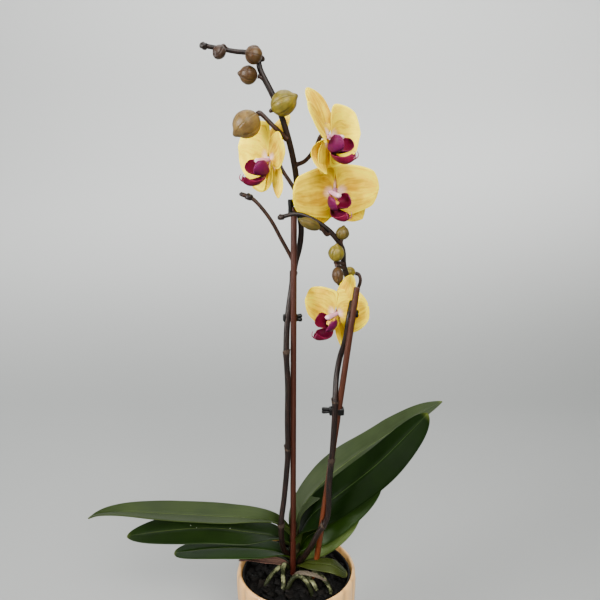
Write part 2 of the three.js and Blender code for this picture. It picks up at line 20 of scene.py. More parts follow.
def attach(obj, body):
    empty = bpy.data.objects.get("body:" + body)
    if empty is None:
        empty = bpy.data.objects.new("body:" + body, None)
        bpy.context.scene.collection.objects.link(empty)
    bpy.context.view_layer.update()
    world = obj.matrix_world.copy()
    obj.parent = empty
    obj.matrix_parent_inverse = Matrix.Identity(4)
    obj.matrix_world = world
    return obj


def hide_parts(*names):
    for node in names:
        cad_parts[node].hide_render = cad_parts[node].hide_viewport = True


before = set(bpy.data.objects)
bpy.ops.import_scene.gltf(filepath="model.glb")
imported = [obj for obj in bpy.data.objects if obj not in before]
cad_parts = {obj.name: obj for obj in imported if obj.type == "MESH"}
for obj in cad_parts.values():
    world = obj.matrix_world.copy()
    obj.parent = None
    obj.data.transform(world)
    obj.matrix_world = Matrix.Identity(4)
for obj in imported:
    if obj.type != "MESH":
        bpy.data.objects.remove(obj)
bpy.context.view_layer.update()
LOG = logging.getLogger("orchid")
MM = 0.001
ROOT = "root"
UP = Vector((0, 0, 1))
SEAM = 1e-6
CREASE = radians(35)
NARROWEST = 0.35

Object = bpy.types.Object
Material = bpy.types.Material
Row = tuple[float, float, float]
Rows = Sequence[Row]
Profile = Sequence[tuple[float, float]]
Colour = tuple[float, float, float]
Surface = Callable[[float, float], Vector]


# ---- Numbers ----
def mix(a: float, b: float, t: float) -> float:
    """Goes from a to b as t goes from 0 to 1."""
    return a + (b - a) * t


def smooth(t: float) -> float:
    """Eases from 0 to 1, and stays there outside that range."""
    s = min(max(t, 0.0), 1.0)
    return s * s * (3 - 2 * s)


def bump(t: float, centre: float, width: float) -> float:
    """A soft hump of height 1 at a centre."""
    return exp(-(((t - centre) / width) ** 2))


def wobble(spot: Vector, size: float, seed: float = 0.0) -> float:
    """Smooth noise between about -1 and 1.

    Args:
        spot: Where it is read, in metres.
        size: The length of its bumps in metres.
        seed: Moves to another part of the noise.

    Returns:
        The noise there.
    """
    return noise.noise(spot / size + Vector((seed, seed * 0.7, 0)))


@dataclass(frozen=True)
class Outline:
    """Half the width of a blade along its length, as a share of its widest.

    Attributes:
        base: The share at its foot.
        shoulder: How far along it is widest.
        tip: How pointed it ends: a low value is round, and 1 is pointed.
        swell: How late it opens out: a low value opens at once.
    """

    base: float
    shoulder: float
    tip: float
    swell: float = 1.2

    def at(self, along: float) -> float:
        """The share at a place along the blade, from 0 at its foot to 1 at its tip.

        Args:
            along: From 0 at its foot to 1 at its tip.

        Returns:
            The share of the full width.
        """
        if along < self.shoulder:
            return mix(self.base, 1, sin(pi / 2 * along / self.shoulder) ** self.swell)
        past = (along - self.shoulder) / (1 - self.shoulder)
        return max(1 - past**2.2, 0) ** self.tip


class Path:
    """A smooth curve through points, measured along its own length."""

    FINENESS = 24

    def __init__(self, rows: Rows) -> None:
        """Makes the curve.

        Args:
            rows: Points in millimetres.
        """
        knots = [Vector(row) * MM for row in rows]
        knots = [2 * knots[0] - knots[1], *knots, 2 * knots[-1] - knots[-2]]
        self.spots = [knots[1]]
        for i in range(1, len(knots) - 2):
            for step in range(1, self.FINENESS + 1):
                self.spots.append(self._between(knots[i - 1 : i + 3], step / self.FINENESS))
        self.reach = [0.0]
        for a, b in zip(self.spots, self.spots[1:]):
            self.reach.append(self.reach[-1] + (b - a).length)
        self.normals = self._carried_normals()

    @staticmethod
    def _between(knots: Sequence[Vector], t: float) -> Vector:
        """A point on the stretch between the second and third of four knots.

        Args:
            knots: Four knots in a row.
            t: How far between them, from 0 to 1.

        Returns:
            The point.
        """
        p0, p1, p2, p3 = knots
        d0, d1, d2 = (max((b - a).length, 1e-9) ** 0.5 for a, b in zip(knots, knots[1:]))
        start = ((p1 - p0) / d0 - (p2 - p0) / (d0 + d1) + (p2 - p1) / d1) * d1
        end = ((p2 - p1) / d1 - (p3 - p1) / (d1 + d2) + (p3 - p2) / d2) * d1
        bend = 2 * p1 - 2 * p2 + start + end
        lean = -3 * p1 + 3 * p2 - 2 * start - end
        return ((bend * t + lean) * t + start) * t + p1

    def _carried_normals(self) -> list[Vector]:
        """One normal for each spot, carried along the curve with no twist.

        Returns:
            The normals.
        """
        heading = (self.spots[1] - self.spots[0]).normalized()
        normal = heading.orthogonal().normalized()
        normals = [normal]
        for i in range(1, len(self.spots)):
            after = (self.spots[min(i + 1, len(self.spots) - 1)] - self.spots[i - 1]).normalized()
            normal = heading.rotation_difference(after) @ normal
            heading = after
            normals.append(normal)
        return normals

    @property
    def length(self) -> float:
        """The curve's length in metres."""
        return self.reach[-1]

    def _stretch(self, share: float) -> tuple[int, float]:
        """The spot before a share of the length, and how far past it the share lies.

        Args:
            share: How far along the length, from 0 to 1.

        Returns:
            The spot's number, and the rest from 0 to 1.
        """
        target = min(max(share, 0.0), 1.0) * self.length
        low, high = 0, len(self.reach) - 1
        while high - low > 1:
            middle = (low + high) // 2
            if self.reach[middle] <= target:
                low = middle
            else:
                high = middle
        return low, (target - self.reach[low]) / max(self.reach[high] - self.reach[low], 1e-12)

    def at(self, share: float) -> Vector:
        """The point at a share of the length."""
        i, rest = self._stretch(share)
        return self.spots[i].lerp(self.spots[i + 1], rest)

    def heading(self, share: float) -> Vector:
        """The direction of travel at a share of the length.

        Args:
            share: How far along the length, from 0 to 1.

        Returns:
            The direction, of length 1.
        """
        i, rest = self._stretch(share)
        here = self.spots[i + 1] - self.spots[i]
        last = len(self.spots) - 1
        there = self.spots[min(i + 2, last)] - self.spots[min(i + 1, last - 1)]
        return here.normalized().lerp(there.normalized(), rest).normalized()

    def axes(self, share: float) -> tuple[Vector, Vector]:
        """Two directions across the curve, square to it and to each other.

        Args:
            share: How far along the length, from 0 to 1.

        Returns:
            The two directions.
        """
        i, rest = self._stretch(share)
        heading = self.heading(share)
        normal = self.normals[i].lerp(self.normals[i + 1], rest)
        normal = (normal - heading * normal.dot(heading)).normalized()
        return normal, heading.cross(normal)


# ---- Meshes ----
def take(name: str) -> Object:
    """Names the object that an operator has just made.

    Args:
        name: Its new name.

    Returns:
        The object.
    """
    piece = bpy.context.view_layer.objects.active
    piece.name = name
    piece.data.name = name
    return piece


def choose(*pieces: Object) -> None:
    """Selects these pieces alone and makes the first one active.

    Args:
        *pieces: The pieces.
    """
    bpy.ops.object.select_all(action="DESELECT")
    for piece in pieces:
        piece.select_set(True)
    bpy.context.view_layer.objects.active = pieces[0]


def modify(piece: Object, kind: str, **settings: Any) -> None:
    """Adds a modifier and applies it.

    Args:
        piece: What it changes.
        kind: The modifier's type.
        **settings: Its settings.
    """
    choose(piece)
    modifier = piece.modifiers.new(kind, kind)
    for key, value in settings.items():
        setattr(modifier, key, value)
    bpy.ops.object.modifier_apply(modifier=modifier.name)


def grid(name: str, steps: int, columns: int, surface: Surface) -> Object:
    """Shapes a flat grid into a surface.

    Args:
        name: The new object's name.
        steps: Faces along it.
        columns: Faces across it.
        surface: Where each (along, across) place goes; along runs 0 to 1, across -1 to 1.

    Returns:
        The new object, with a UV map of along and across.
    """
    bpy.ops.object.select_all(action="DESELECT")
    bpy.ops.mesh.primitive_grid_add(x_subdivisions=steps, y_subdivisions=columns, size=2)
    piece = take(name)
    for vertex in piece.data.vertices:
        vertex.co = surface(vertex.co.x / 2 + 0.5, vertex.co.y)
    return piece


def blade(name: str, steps: int, columns: int, surface: Surface, thickness: float) -> Object:
    """A thin blade with two faces and a rounded rim.

    Args:
        name: The new object's name.
        steps: Faces along it.
        columns: Faces across it.
        surface: The middle of its thickness.
        thickness: In millimetres.

    Returns:
        The blade. Its back face takes the second material.
    """
    piece = grid(name, steps, columns, surface)
    back = {"material_offset": 1, "material_offset_rim": 0}
    piece.data.materials.append(None)
    piece.data.materials.append(None)
    modify(piece, "SOLIDIFY", thickness=thickness * MM, offset=0.0, use_even_offset=False, **back)
    modify(piece, "SUBSURF", levels=1, render_levels=1)
    bpy.ops.object.shade_smooth()
    return piece


def close_ends(piece: Object) -> None:
    """Merges a rolled grid's seam, fills its ends and turns its faces outwards.

    Args:
        piece: The piece.
    """
    choose(piece)
    bpy.ops.object.mode_set(mode="EDIT")
    bpy.ops.mesh.select_all(action="SELECT")
    bpy.ops.mesh.remove_doubles(threshold=SEAM)
    bpy.ops.mesh.fill_holes(sides=0)
    bpy.ops.mesh.select_all(action="SELECT")
    bpy.ops.mesh.normals_make_consistent(inside=False)
    bpy.ops.object.mode_set(mode="OBJECT")
    bpy.ops.object.shade_smooth()


def tube(
    name: str,
    path: Path,
    radius: Callable[[float, float], float],
    sides: int = 12,
    rings: int = 40,
) -> Object:
    """A closed round stem along a path.

    Args:
        name: The new object's name.
        path: Its middle line.
        radius: Its radius in millimetres at (share of the length, angle round it).
        sides: Faces round it.
        rings: Faces along it.

    Returns:
        The stem, with a UV map of along and round.
    """

    def skin(along: float, across: float) -> Vector:
        """Where a place on the stem's skin goes.

        Args:
            along: From 0 at its foot to 1 at its tip.
            across: From -1 at one edge to 1 at the other.

        Returns:
            The point, in metres.
        """
        angle = -pi * across
        normal, other = path.axes(along)
        out = radius(along, angle) * MM
        return path.at(along) + normal * cos(angle) * out + other * sin(angle) * out

    piece = grid(name, rings, sides, skin)
    close_ends(piece)
    return piece


def ball(name: str, segments: int, rings: int, shape: Callable[[Vector], Vector]) -> Object:
    """Shapes a unit sphere, with its poles on Z, into a rounded body.

    Args:
        name: The new object's name.
        segments: Faces round it.
        rings: Faces from pole to pole.
        shape: Where each point of the unit sphere goes.

    Returns:
        The body.
    """
    bpy.ops.object.select_all(action="DESELECT")
    bpy.ops.mesh.primitive_uv_sphere_add(segments=segments, ring_count=rings, radius=1)
    piece = take(name)
    for vertex in piece.data.vertices:
        vertex.co = shape(vertex.co.copy())
    bpy.ops.object.shade_smooth()
    return piece


def block(name: str, size: Row, rounding: float, segments: int = 3) -> Object:
    """A box with rounded edges, centred on the origin.

    Args:
        name: The new object's name.
        size: Its three sides in millimetres.
        rounding: The radius of its edges in millimetres.
        segments: Faces round each edge.

    Returns:
        The box.
    """
    bpy.ops.object.select_all(action="DESELECT")
    bpy.ops.mesh.primitive_cube_add(size=1, scale=Vector(size) * MM)
    piece = take(name)
    bpy.ops.object.transform_apply(location=True, rotation=True, scale=True)
    modify(piece, "BEVEL", width=rounding * MM, segments=segments, limit_method="NONE")
    bpy.ops.object.shade_smooth()
    return piece


def turned(name: str, rows: Profile, sides: int) -> Object:
    """Builds a round body by extruding a disc from row to row.

    Args:
        name: The new object's name.
        rows: (radius, height) pairs in millimetres, from the middle of one end to the other.
        sides: Faces round it.

    Returns:
        The closed body.
    """
    radius, height = rows[0]
    bpy.ops.object.select_all(action="DESELECT")
    bpy.ops.mesh.primitive_circle_add(
        vertices=sides, radius=radius * MM, fill_type="NGON", location=(0, 0, height * MM)
    )
    piece = take(name)
    bpy.ops.object.transform_apply(location=True, rotation=True, scale=True)
    bpy.ops.object.mode_set(mode="EDIT")
    bpy.ops.mesh.select_all(action="SELECT")
    for wider, higher in rows[1:]:
        lift = {"value": (0, 0, (higher - height) * MM)}
        bpy.ops.mesh.extrude_region_move(TRANSFORM_OT_translate=lift)
        ratio = wider / radius
        bpy.ops.transform.resize(value=(ratio, ratio, 1), center_override=(0, 0, higher * MM))
        radius, height = wider, higher
    bpy.ops.mesh.select_all(action="SELECT")
    bpy.ops.mesh.normals_make_consistent(inside=False)
    bpy.ops.object.mode_set(mode="OBJECT")
    bpy.ops.object.shade_smooth_by_angle(angle=CREASE)
    return piece


def shift(spot: Row | Vector) -> Matrix:
    """A move in millimetres."""
    return Matrix.Translation(Vector(spot) * MM)


def moved(piece: Object, place: Matrix) -> Object:
    """Moves a piece's mesh, and leaves its object at the origin.

    Args:
        piece: The piece.
        place: Where it goes.

    Returns:
        The same piece.
    """
    choose(piece)
    piece.matrix_world = place
    bpy.ops.object.transform_apply(location=True, rotation=True, scale=True)
    return piece


def joined(name: str, pieces: Sequence[Object]) -> Object:
    """Makes one object of several.

    Args:
        name: The name of the whole.
        pieces: The pieces.

    Returns:
        The whole.
    """
    choose(*pieces)
    if len(pieces) > 1:
        bpy.ops.object.join()
    return take(name)


def drill(spot: Row | Vector, radius: float, depth: float) -> Object:
    """An upright round cutter.

    Args:
        spot: Its middle, in metres.
        radius: In millimetres.
        depth: Its height in millimetres.

    Returns:
        The cutter.
    """
    bpy.ops.object.select_all(action="DESELECT")
    bpy.ops.mesh.primitive_cylinder_add(
        vertices=24, radius=radius * MM, depth=depth * MM, location=spot
    )
    return take("drill")


def bore(piece: Object, *drills: Object) -> None:
    """Cuts the drills out of a piece, and removes them.

    Args:
        piece: The piece.
        *drills: The cutters.
    """
    cutter = joined("drill", drills)
    modify(piece, "BOOLEAN", operation="DIFFERENCE", solver="EXACT", object=cutter)
    bpy.data.objects.remove(cutter)
    choose(piece)


def link(thing: Object) -> Object:
    """Puts an object in the scene."""
    bpy.context.scene.collection.objects.link(thing)
    return thing


class Finish:
    """The look of a surface."""

    def make(self) -> Material:
        """Makes the material."""
        raise NotImplementedError


@cache
def made(finish: Finish) -> Material:
    """A finish's material, made once for all that share it."""
    return finish.make()


def coat(piece: Object, *finishes: Finish) -> Object:
    """Gives a piece its finishes.

    Args:
        piece: The piece.
        *finishes: One for all of it, or a front and a back.

    Returns:
        The same piece.
    """
    while len(piece.data.materials) < len(finishes):
        piece.data.materials.append(None)
    for i in range(len(piece.data.materials)):
        piece.data.materials[i] = made(finishes[min(i, len(finishes) - 1)])
    return piece


def mount(piece: Object, slot: str, *nodes: str) -> Object:
    """Puts a finished piece on the frame.

    Args:
        piece: The piece, with its materials.
        slot: The record's material slot; not used.
        *nodes: The CAD nodes that it stands for.

    Returns:
        The same piece.
    """
    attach(piece, ROOT)
    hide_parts(*nodes)
    LOG.info("%s: %d faces", piece.name, len(piece.data.polygons))
    return piece


# ---- Shading ----
def tint(code: str) -> Colour:
    """Turns a colour such as "#c8a050" into the renderer's linear numbers."""
    parts = (int(code[i : i + 2], 16) / 255 for i in (1, 3, 5))
    return tuple(p / 12.92 if p < 0.04045 else ((p + 0.055) / 1.055) ** 2.4 for p in parts)


def find(sockets: Any, key: str | int) -> bpy.types.NodeSocket:
    """The socket with this identifier, name or number.

    Args:
        sockets: A node's inputs or outputs.
        key: The identifier, name or number.

    Returns:
        The socket.
    """
    for socket in sockets:
        if socket.identifier == key:
            return socket
    return sockets[key]


@dataclass(frozen=True)
class Value:
    """An output of a node that can be used in sums."""

    paint: "Paint"
    socket: bpy.types.NodeSocket

    def _sum(self, operation: str, other: "Value | float", swapped: bool = False) -> "Value":
        """Adds one Math node."""
        pair = (other, self) if swapped else (self, other)
        return self.paint.maths(operation, *pair)

    def __add__(self, other: "Value | float") -> "Value":
        """self + other."""
        return self._sum("ADD", other)

    __radd__ = __add__

    def __sub__(self, other: "Value | float") -> "Value":
        """self - other."""
        return self._sum("SUBTRACT", other)

    def __rsub__(self, other: "Value | float") -> "Value":
        """other - self."""
        return self._sum("SUBTRACT", other, swapped=True)

    def __mul__(self, other: "Value | float") -> "Value":
        """self * other."""
        return self._sum("MULTIPLY", other)

    __rmul__ = __mul__

    def __pow__(self, other: "Value | float") -> "Value":
        """self ** other."""
        return self._sum("POWER", other)

    def __abs__(self) -> "Value":
        """The size of self."""
        return self._sum("ABSOLUTE", 0.0)

    def most(self, other: "Value | float") -> "Value":
        """The larger of two."""
        return self._sum("MAXIMUM", other)

    def ease(self, low: float, high: float) -> "Value":
        """Goes smoothly from 0 where self is low to 1 where it is high.

        Args:
            low: Where it starts to rise.
            high: Where it reaches 1.

        Returns:
            The eased output.
        """
        return self.paint.node(
            "ShaderNodeMapRange",
            {"interpolation_type": "SMOOTHSTEP"},
            {"Value": self, "From Min": low, "From Max": high},
            "Result",
        )


class Paint:
    """A material and the nodes that colour it."""

    def __init__(self, name: str, **constants: float | Row) -> None:
        """Makes a material with one principled shader.

        Args:
            name: The material's name.
            **constants: Shader inputs that are even all over, with _ for a space.
        """
        self.material = bpy.data.materials.new(name)
        self.material.use_nodes = True
        self.tree = self.material.node_tree
        self.tree.nodes.clear()
        self.shader = self.tree.nodes.new("ShaderNodeBsdfPrincipled")
        output = self.tree.nodes.new("ShaderNodeOutputMaterial")
        self.tree.links.new(self.shader.outputs["BSDF"], output.inputs["Surface"])
        for key, value in constants.items():
            title = key.replace("_", " ").title().replace("Ior", "IOR")
            self.feed(self.shader.inputs[title], value)

    def feed(self, socket: bpy.types.NodeSocket, value: "Value | float | Row | str") -> None:
        """Links a socket, or sets it to a number, three numbers or a colour's code.

        Args:
            socket: The socket.
            value: An output to link, or what to set.
        """
        if isinstance(value, Value):
            self.tree.links.new(value.socket, socket)
        elif isinstance(value, str):
            socket.default_value = (*tint(value), 1.0)
        else:
            socket.default_value = value

    def node(
        self,
        kind: str,
        settings: dict[str, Any] | None = None,
        inputs: dict[str | int, Any] | None = None,
        output: str | int = 0,
    ) -> Value:
        """Adds a node.

        Args:
            kind: The node's type.
            settings: Its settings, which are set first; "stops" fills a colour ramp.
            inputs: Values or links for its sockets.
            output: The output that is wanted.

        Returns:
            That output.
        """
        made = self.tree.nodes.new(kind)
        for key, value in (settings or {}).items():
            if key == "stops":
                stops = made.color_ramp.elements
                while len(stops) < len(value):
                    stops.new(1.0)
                for stop, (place, colour) in zip(stops, value):
                    stop.position, stop.color = place, (*tint(colour), 1.0)
            else:
                setattr(made, key, value)
        for key, value in (inputs or {}).items():
            self.feed(find(made.inputs, key), value)
        return Value(self, find(made.outputs, output))

    def maths(self, operation: str, first: Value | float, second: Value | float) -> Value:
        """A Math node."""
        return self.node("ShaderNodeMath", {"operation": operation}, {0: first, 1: second})

    def blend(self, share: Value | float, first: Value | str, second: Value | str) -> Value:
        """Mixes two colours."""
        inputs = {"Factor_Float": share, "A_Color": first, "B_Color": second}
        return self.node("ShaderNodeMix", {"data_type": "RGBA"}, inputs, "Result_Color")

    def ramp(self, value: Value, *stops: tuple[float, str]) -> Value:
        """A colour that follows a number."""
        return self.node("ShaderNodeValToRGB", {"stops": stops}, {"Fac": value}, "Color")

    def place(self) -> Value:
        """Where the surface is, in metres."""
        return self.node("ShaderNodeTexCoord", output="Object")

    def part(self, vector: Value, axis: str) -> Value:
        """One of a vector's three numbers."""
        return self.node("ShaderNodeSeparateXYZ", None, {0: vector}, axis)

    def uv(self) -> tuple[Value, Value]:
        """The UV map's two numbers, from 0 to 1."""
        both = self.node("ShaderNodeTexCoord", output="UV")
        return self.part(both, "X"), self.part(both, "Y")

    def chart(self) -> tuple[Value, Value]:
        """The UV map of a blade: along from 0 to 1, and across from -1 to 1."""
        along, across = self.uv()
        return along, across * 2 - 1

    def spot(self, x: Value | float, y: Value | float, z: Value | float = 0.0) -> Value:
        """A place made of three numbers."""
        return self.node("ShaderNodeCombineXYZ", inputs={0: x, 1: y, 2: z})

    def scaled(self, vector: Value, by: Row) -> Value:
        """A place stretched along its axes."""
        settings = {"operation": "MULTIPLY"}
        return self.node("ShaderNodeVectorMath", settings, {0: vector, 1: by})

    def noise(self, vector: Value, scale: float, detail: float = 3.0, rough: float = 0.55) -> Value:
        """Cloudy noise from about 0.25 to 0.75."""
        inputs = {"Vector": vector, "Scale": scale, "Detail": detail, "Roughness": rough}
        return self.node("ShaderNodeTexNoise", None, inputs, "Fac")

    def specks(self, scale: float, size: float, share: float) -> Value:
        """Scattered dots: 1 on a dot and 0 off it.

        Args:
            scale: Places per metre.
            size: A dot's radius as a share of the room for it.
            share: The share of places that have a dot.

        Returns:
            The dots.
        """
        inputs = {"Vector": self.place(), "Scale": scale}
        near = self.node("ShaderNodeTexVoronoi", None, inputs, "Distance")
        pick = self.node("ShaderNodeTexVoronoi", None, inputs, "Color")
        lucky = self.node("ShaderNodeSeparateColor", None, {0: pick}, 0)
        return near.ease(size, size * 0.5) * lucky.ease(1 - share, 1.001 - share)

    def finish(
        self, colour: Value | str, roughness: Value | float, height: Value | None = None,
        depth: float = 0.0,
    ) -> Material:
        """Feeds the shader.

        Args:
            colour: The base colour.
            roughness: Its roughness.
            height: What the surface's relief follows.
            depth: The relief's depth in millimetres.

        Returns:
            The finished material.
        """
        self.feed(self.shader.inputs["Base Color"], colour)
        self.feed(self.shader.inputs["Roughness"], roughness)
        if height is not None:
            inputs = {"Height": height, "Distance": depth * MM, "Strength": 1.0}
            normal = self.node("ShaderNodeBump", None, inputs, "Normal")
            self.feed(self.shader.inputs["Normal"], normal)
        return self.material


@dataclass(frozen=True)
class Glaze(Finish):
    """A glossy ceramic glaze, faintly speckled, with painted shade in the grooves between its ribs.
    """

    name: str = "cover_pot_glaze"
    cream: str = "#eebb72"
    tan: str = "#c9955a"
    speck: str = "#7d5a30"
    # groove: the colour of the painted shade in the grooves.
    groove: str = "#94683a"
    ribs: int = 20
    rib_turn: float = -2.5

    def make(self) -> Material:
        """Makes the material.

        Returns:
            The material.
        """
        paint = Paint(self.name, coat_weight=0.35, coat_roughness=0.12)
        place = paint.place()
        clouds = paint.noise(place, 14, 4).ease(0.35, 0.7)
        streaks = paint.noise(paint.scaled(place, (70.0, 70.0, 9.0)), 1, 3).ease(0.35, 0.75)
        colour = paint.blend(clouds * 0.55 + streaks * 0.3, self.cream, self.tan)
        round_it = paint.maths("ARCTAN2", paint.part(place, "X"), paint.part(place, "Y") * -1)
        turn = (round_it - radians(self.rib_turn)) * (self.ribs / 2)
        # Painted shade: the glaze is darkened along the grooves between the ribs, where shade
        # falls.
        grooves = abs(paint.maths("COSINE", turn, 0.0)) ** 10
        colour = paint.blend(grooves * 0.4, colour, self.groove)
        colour = paint.blend(paint.specks(900, 0.22, 0.12) * 0.45, colour, self.speck)
        ripple = paint.noise(place, 160, 2)
        return paint.finish(colour, 0.34 + clouds * 0.1, ripple + clouds * 2, 0.05)


@dataclass(frozen=True)
class LeafSkin(Finish):
    """A waxy leaf face with a midrib, fine parallel veins, a few dust specks and painted shade in
    the midrib groove.
    """

    name: str
    deep: str
    bright: str
    tip: str = "#4f5a22"
    rib: str = "#66783c"
    gloss: float = 0.34
    dust: float = 0.02
    shine: float = 0.16

    def make(self) -> Material:
        """Makes the material.

        Returns:
            The material.
        """
        paint = Paint(self.name, specular_ior_level=self.shine)
        along, across = paint.chart()
        edge = abs(across)
        veins = paint.noise(paint.spot(along * 2.2, across * 34), 1, 3, 0.6)
        clouds = paint.noise(paint.place(), 22, 4)
        tone = veins.ease(0.3, 0.75) * 0.45 + clouds.ease(0.3, 0.72) * 0.55
        colour = paint.blend(tone, self.deep, self.bright)
        # Painted shade: darker green in the groove along the midrib.
        colour = paint.blend(edge.ease(0.16, 0.03) * 0.35, colour, self.deep)
        # The pale line on the midrib: partly its own paler tissue, partly a painted highlight.
        colour = paint.blend(edge.ease(0.028, 0.006) * 0.75, colour, self.rib)
        ends = along.ease(0.9, 1.0).most(edge.ease(0.975, 1.0) * 0.2)
        colour = paint.blend(ends * 0.65, colour, self.tip)
        dust = paint.specks(130, 0.075, self.dust)
        colour = paint.blend(dust * 0.85, colour, "#e8e8dc")
        relief = veins * 0.6 + clouds * 0.8
        return paint.finish(colour, self.gloss + clouds * 0.14 + dust * 0.3, relief, 0.22)


@dataclass(frozen=True)
class DrySkin(Finish):
    """A dead, papery leaf with shrunken veins and brown blotches."""

    name: str
    pale: str
    dark: str
    rosy: str

    def make(self) -> Material:
        """Makes the material.

        Returns:
            The material.
        """
        paint = Paint(self.name, specular_ior_level=0.25)
        along, across = paint.chart()
        veins = paint.noise(paint.spot(along * 3, across * 22), 1, 4, 0.65)
        blotches = paint.noise(paint.place(), 90, 4)
        colour = paint.blend(veins.ease(0.35, 0.7), self.dark, self.pale)
        colour = paint.blend(blotches.ease(0.45, 0.7) * 0.7, colour, self.rosy)
        return paint.finish(colour, 0.75 + blotches * 0.15, veins + blotches * 0.5, 0.6)


@dataclass(frozen=True)
class PetalSkin(Finish):
    """A soft petal: pale pink at its foot, fine veins, a lemon rim, painted shade in brown, and a
    painted glow.
    """

    name: str
    gold: str
    rim: str = "#ffe410"
    # shade_brown paints shade: near the flower's middle, in the pleat folds and along the midline
    # groove.
    shade_brown: str = "#9c6c08"
    foot: str = "#eec3b4"
    vein: str = "#a07208"
    # reach sets how far out the painted shade near the middle spreads; midline sets the painted
    # shade along the midline.
    reach: float = 0.42
    midline: float = 0.0
    # glow: the strength of a painted glow; the petal is no lamp.
    glow: float = 0.2

    def make(self) -> Material:
        """Makes the material.

        Returns:
            The material.
        """
        # The emission here is a painted glow.
        paint = Paint(
            self.name, specular_ior_level=0.03, subsurface_weight=0.22, emission_strength=self.glow,
            subsurface_radius=(1.0, 0.55, 0.2), subsurface_scale=0.004,
        )
        along, across = paint.chart()
        edge = abs(across)
        out = (along**2 + (edge * 0.42) ** 2) ** 0.5
        clouds = paint.noise(paint.place(), 55, 3)
        bend = paint.noise(paint.place(), 40, 2) * 0.25
        veins = paint.noise(paint.spot(along * 1.4, (across + bend) * 13, 3.0), 1, 4, 0.7)
        lines = veins.ease(0.52, 0.7)
        pleats = paint.noise(paint.spot(along * 0.9, (across + bend) * 3.6, 8.0), 1, 3, 0.6)
        colour = paint.blend(clouds.ease(0.35, 0.65) * 0.5, self.gold, self.rim)
        outer = (along * 0.9).most(edge * edge * 0.95) + clouds * 0.12
        colour = paint.blend(outer.ease(0.72, 1.0) * 0.85, colour, self.rim)
        # Painted highlight and shade on the pleats: paler crests, darker brown folds.
        colour = paint.blend(pleats.ease(0.52, 0.36) * 0.5, colour, self.rim)
        fold_shade = pleats.ease(0.5, 0.68) * along.ease(1.05, 0.5)
        colour = paint.blend(fold_shade * 0.6, colour, self.shade_brown)
        # Painted shade: darker brown towards the flower's middle.
        inner_shade = (out + clouds * 0.25).ease(self.reach + 0.14, 0.08)
        colour = paint.blend(inner_shade * 0.66, colour, self.shade_brown)
        # Painted shade along the midline groove.
        colour = paint.blend(edge.ease(0.2, 0.02) * self.midline, colour, self.shade_brown)
        colour = paint.blend(lines * along.ease(1.0, 0.2) * 0.55, colour, self.vein)
        colour = paint.blend((out + veins * 0.1).ease(0.27, 0.08), colour, self.foot)
        relief = veins + clouds * 0.6 + pleats * 1.5
        # Painted glow: emission makes the thinner outer petal shine as if lit through, though it is
        # no lamp.
        thin = out.ease(0.3, 0.85) * (clouds.ease(0.3, 0.65) * 0.6 + 0.4) * (1 - lines * 0.6)
        paint.feed(paint.shader.inputs["Emission Color"], paint.blend(thin, "#000000", self.rim))
        return paint.finish(colour, 0.5 + clouds * 0.15, relief, 0.34)


@dataclass(frozen=True)
class LipSkin(Finish):
    """A waxy lobe that goes from one colour at its foot to another at its tip."""

    name: str
    foot: str
    body: str
    margin: str
    edge: float = 0.8
    spots: str = ""
    polish: float = 0.12

    def make(self) -> Material:
        """Makes the material.

        Returns:
            The material.
        """
        paint = Paint(
            self.name, specular_ior_level=self.polish, subsurface_weight=0.1,
            subsurface_scale=0.002,
        )
        along, across = paint.chart()
        clouds = paint.noise(paint.place(), 180, 3)
        streaks = paint.noise(paint.spot(along * 2, across * 9, 1.0), 1, 3)
        colour = paint.blend((along + clouds * 0.2).ease(0.12, 0.5), self.foot, self.body)
        rim = abs(across).ease(self.edge, 1.0)
        colour = paint.blend(rim, colour, self.margin)
        if self.spots:
            colour = paint.blend(paint.specks(1100, 0.42, 0.55) * 0.85, colour, self.spots)
        return paint.finish(colour, 0.38 + clouds * 0.15, streaks + clouds, 0.15)


@dataclass(frozen=True)
class BudSkin(Finish):
    """A waxy bud with seams between its sepals, a freckled skin and a darker tip."""

    name: str
    body: str
    pale: str
    dark: str

    def make(self) -> Material:
        """Makes the material.

        Returns:
            The material.
        """
        paint = Paint(
            self.name, specular_ior_level=0.28, subsurface_weight=0.08, subsurface_scale=0.003
        )
        round_it, along = paint.uv()
        turn = paint.maths("SINE", round_it * (tau * 3), 0.0)
        seams = abs(turn).ease(0.3, 0.0)
        clouds = paint.noise(paint.place(), 120, 4)
        veins = paint.noise(paint.spot(round_it * 40, along * 3), 1, 3)
        colour = paint.blend(clouds.ease(0.35, 0.68), self.body, self.pale)
        colour = paint.blend(veins.ease(0.5, 0.72) * 0.4, colour, self.dark)
        colour = paint.blend(seams * 0.45, colour, self.dark)
        colour = paint.blend(along.ease(0.8, 1.0) * 0.7, colour, self.dark)
        colour = paint.blend(along.ease(0.12, 0.0) * 0.5, colour, self.dark)
        colour = paint.blend(paint.specks(800, 0.3, 0.3) * 0.35, colour, self.dark)
        return paint.finish(colour, 0.36 + clouds * 0.16, veins * 0.5 - seams, 0.3)


@dataclass(frozen=True)
class StemSkin(Finish):
    """A purple-brown flower stem with green showing through and pale flecks."""

    name: str
    dark: str
    light: str
    green: str

    def make(self) -> Material:
        """Makes the material.

        Returns:
            The material.
        """
        paint = Paint(self.name, specular_ior_level=0.25)
        place = paint.place()
        streaks = paint.noise(paint.scaled(place, (900.0, 900.0, 60.0)), 1, 3)
        clouds = paint.noise(place, 45, 4)
        colour = paint.blend(streaks.ease(0.35, 0.7), self.dark, self.light)
        colour = paint.blend(clouds.ease(0.55, 0.8) * 0.6, colour, self.green)
        colour = paint.blend(paint.specks(1400, 0.25, 0.1) * 0.5, colour, "#8f8272")
        return paint.finish(colour, 0.36 + clouds * 0.16, streaks + clouds, 0.12)


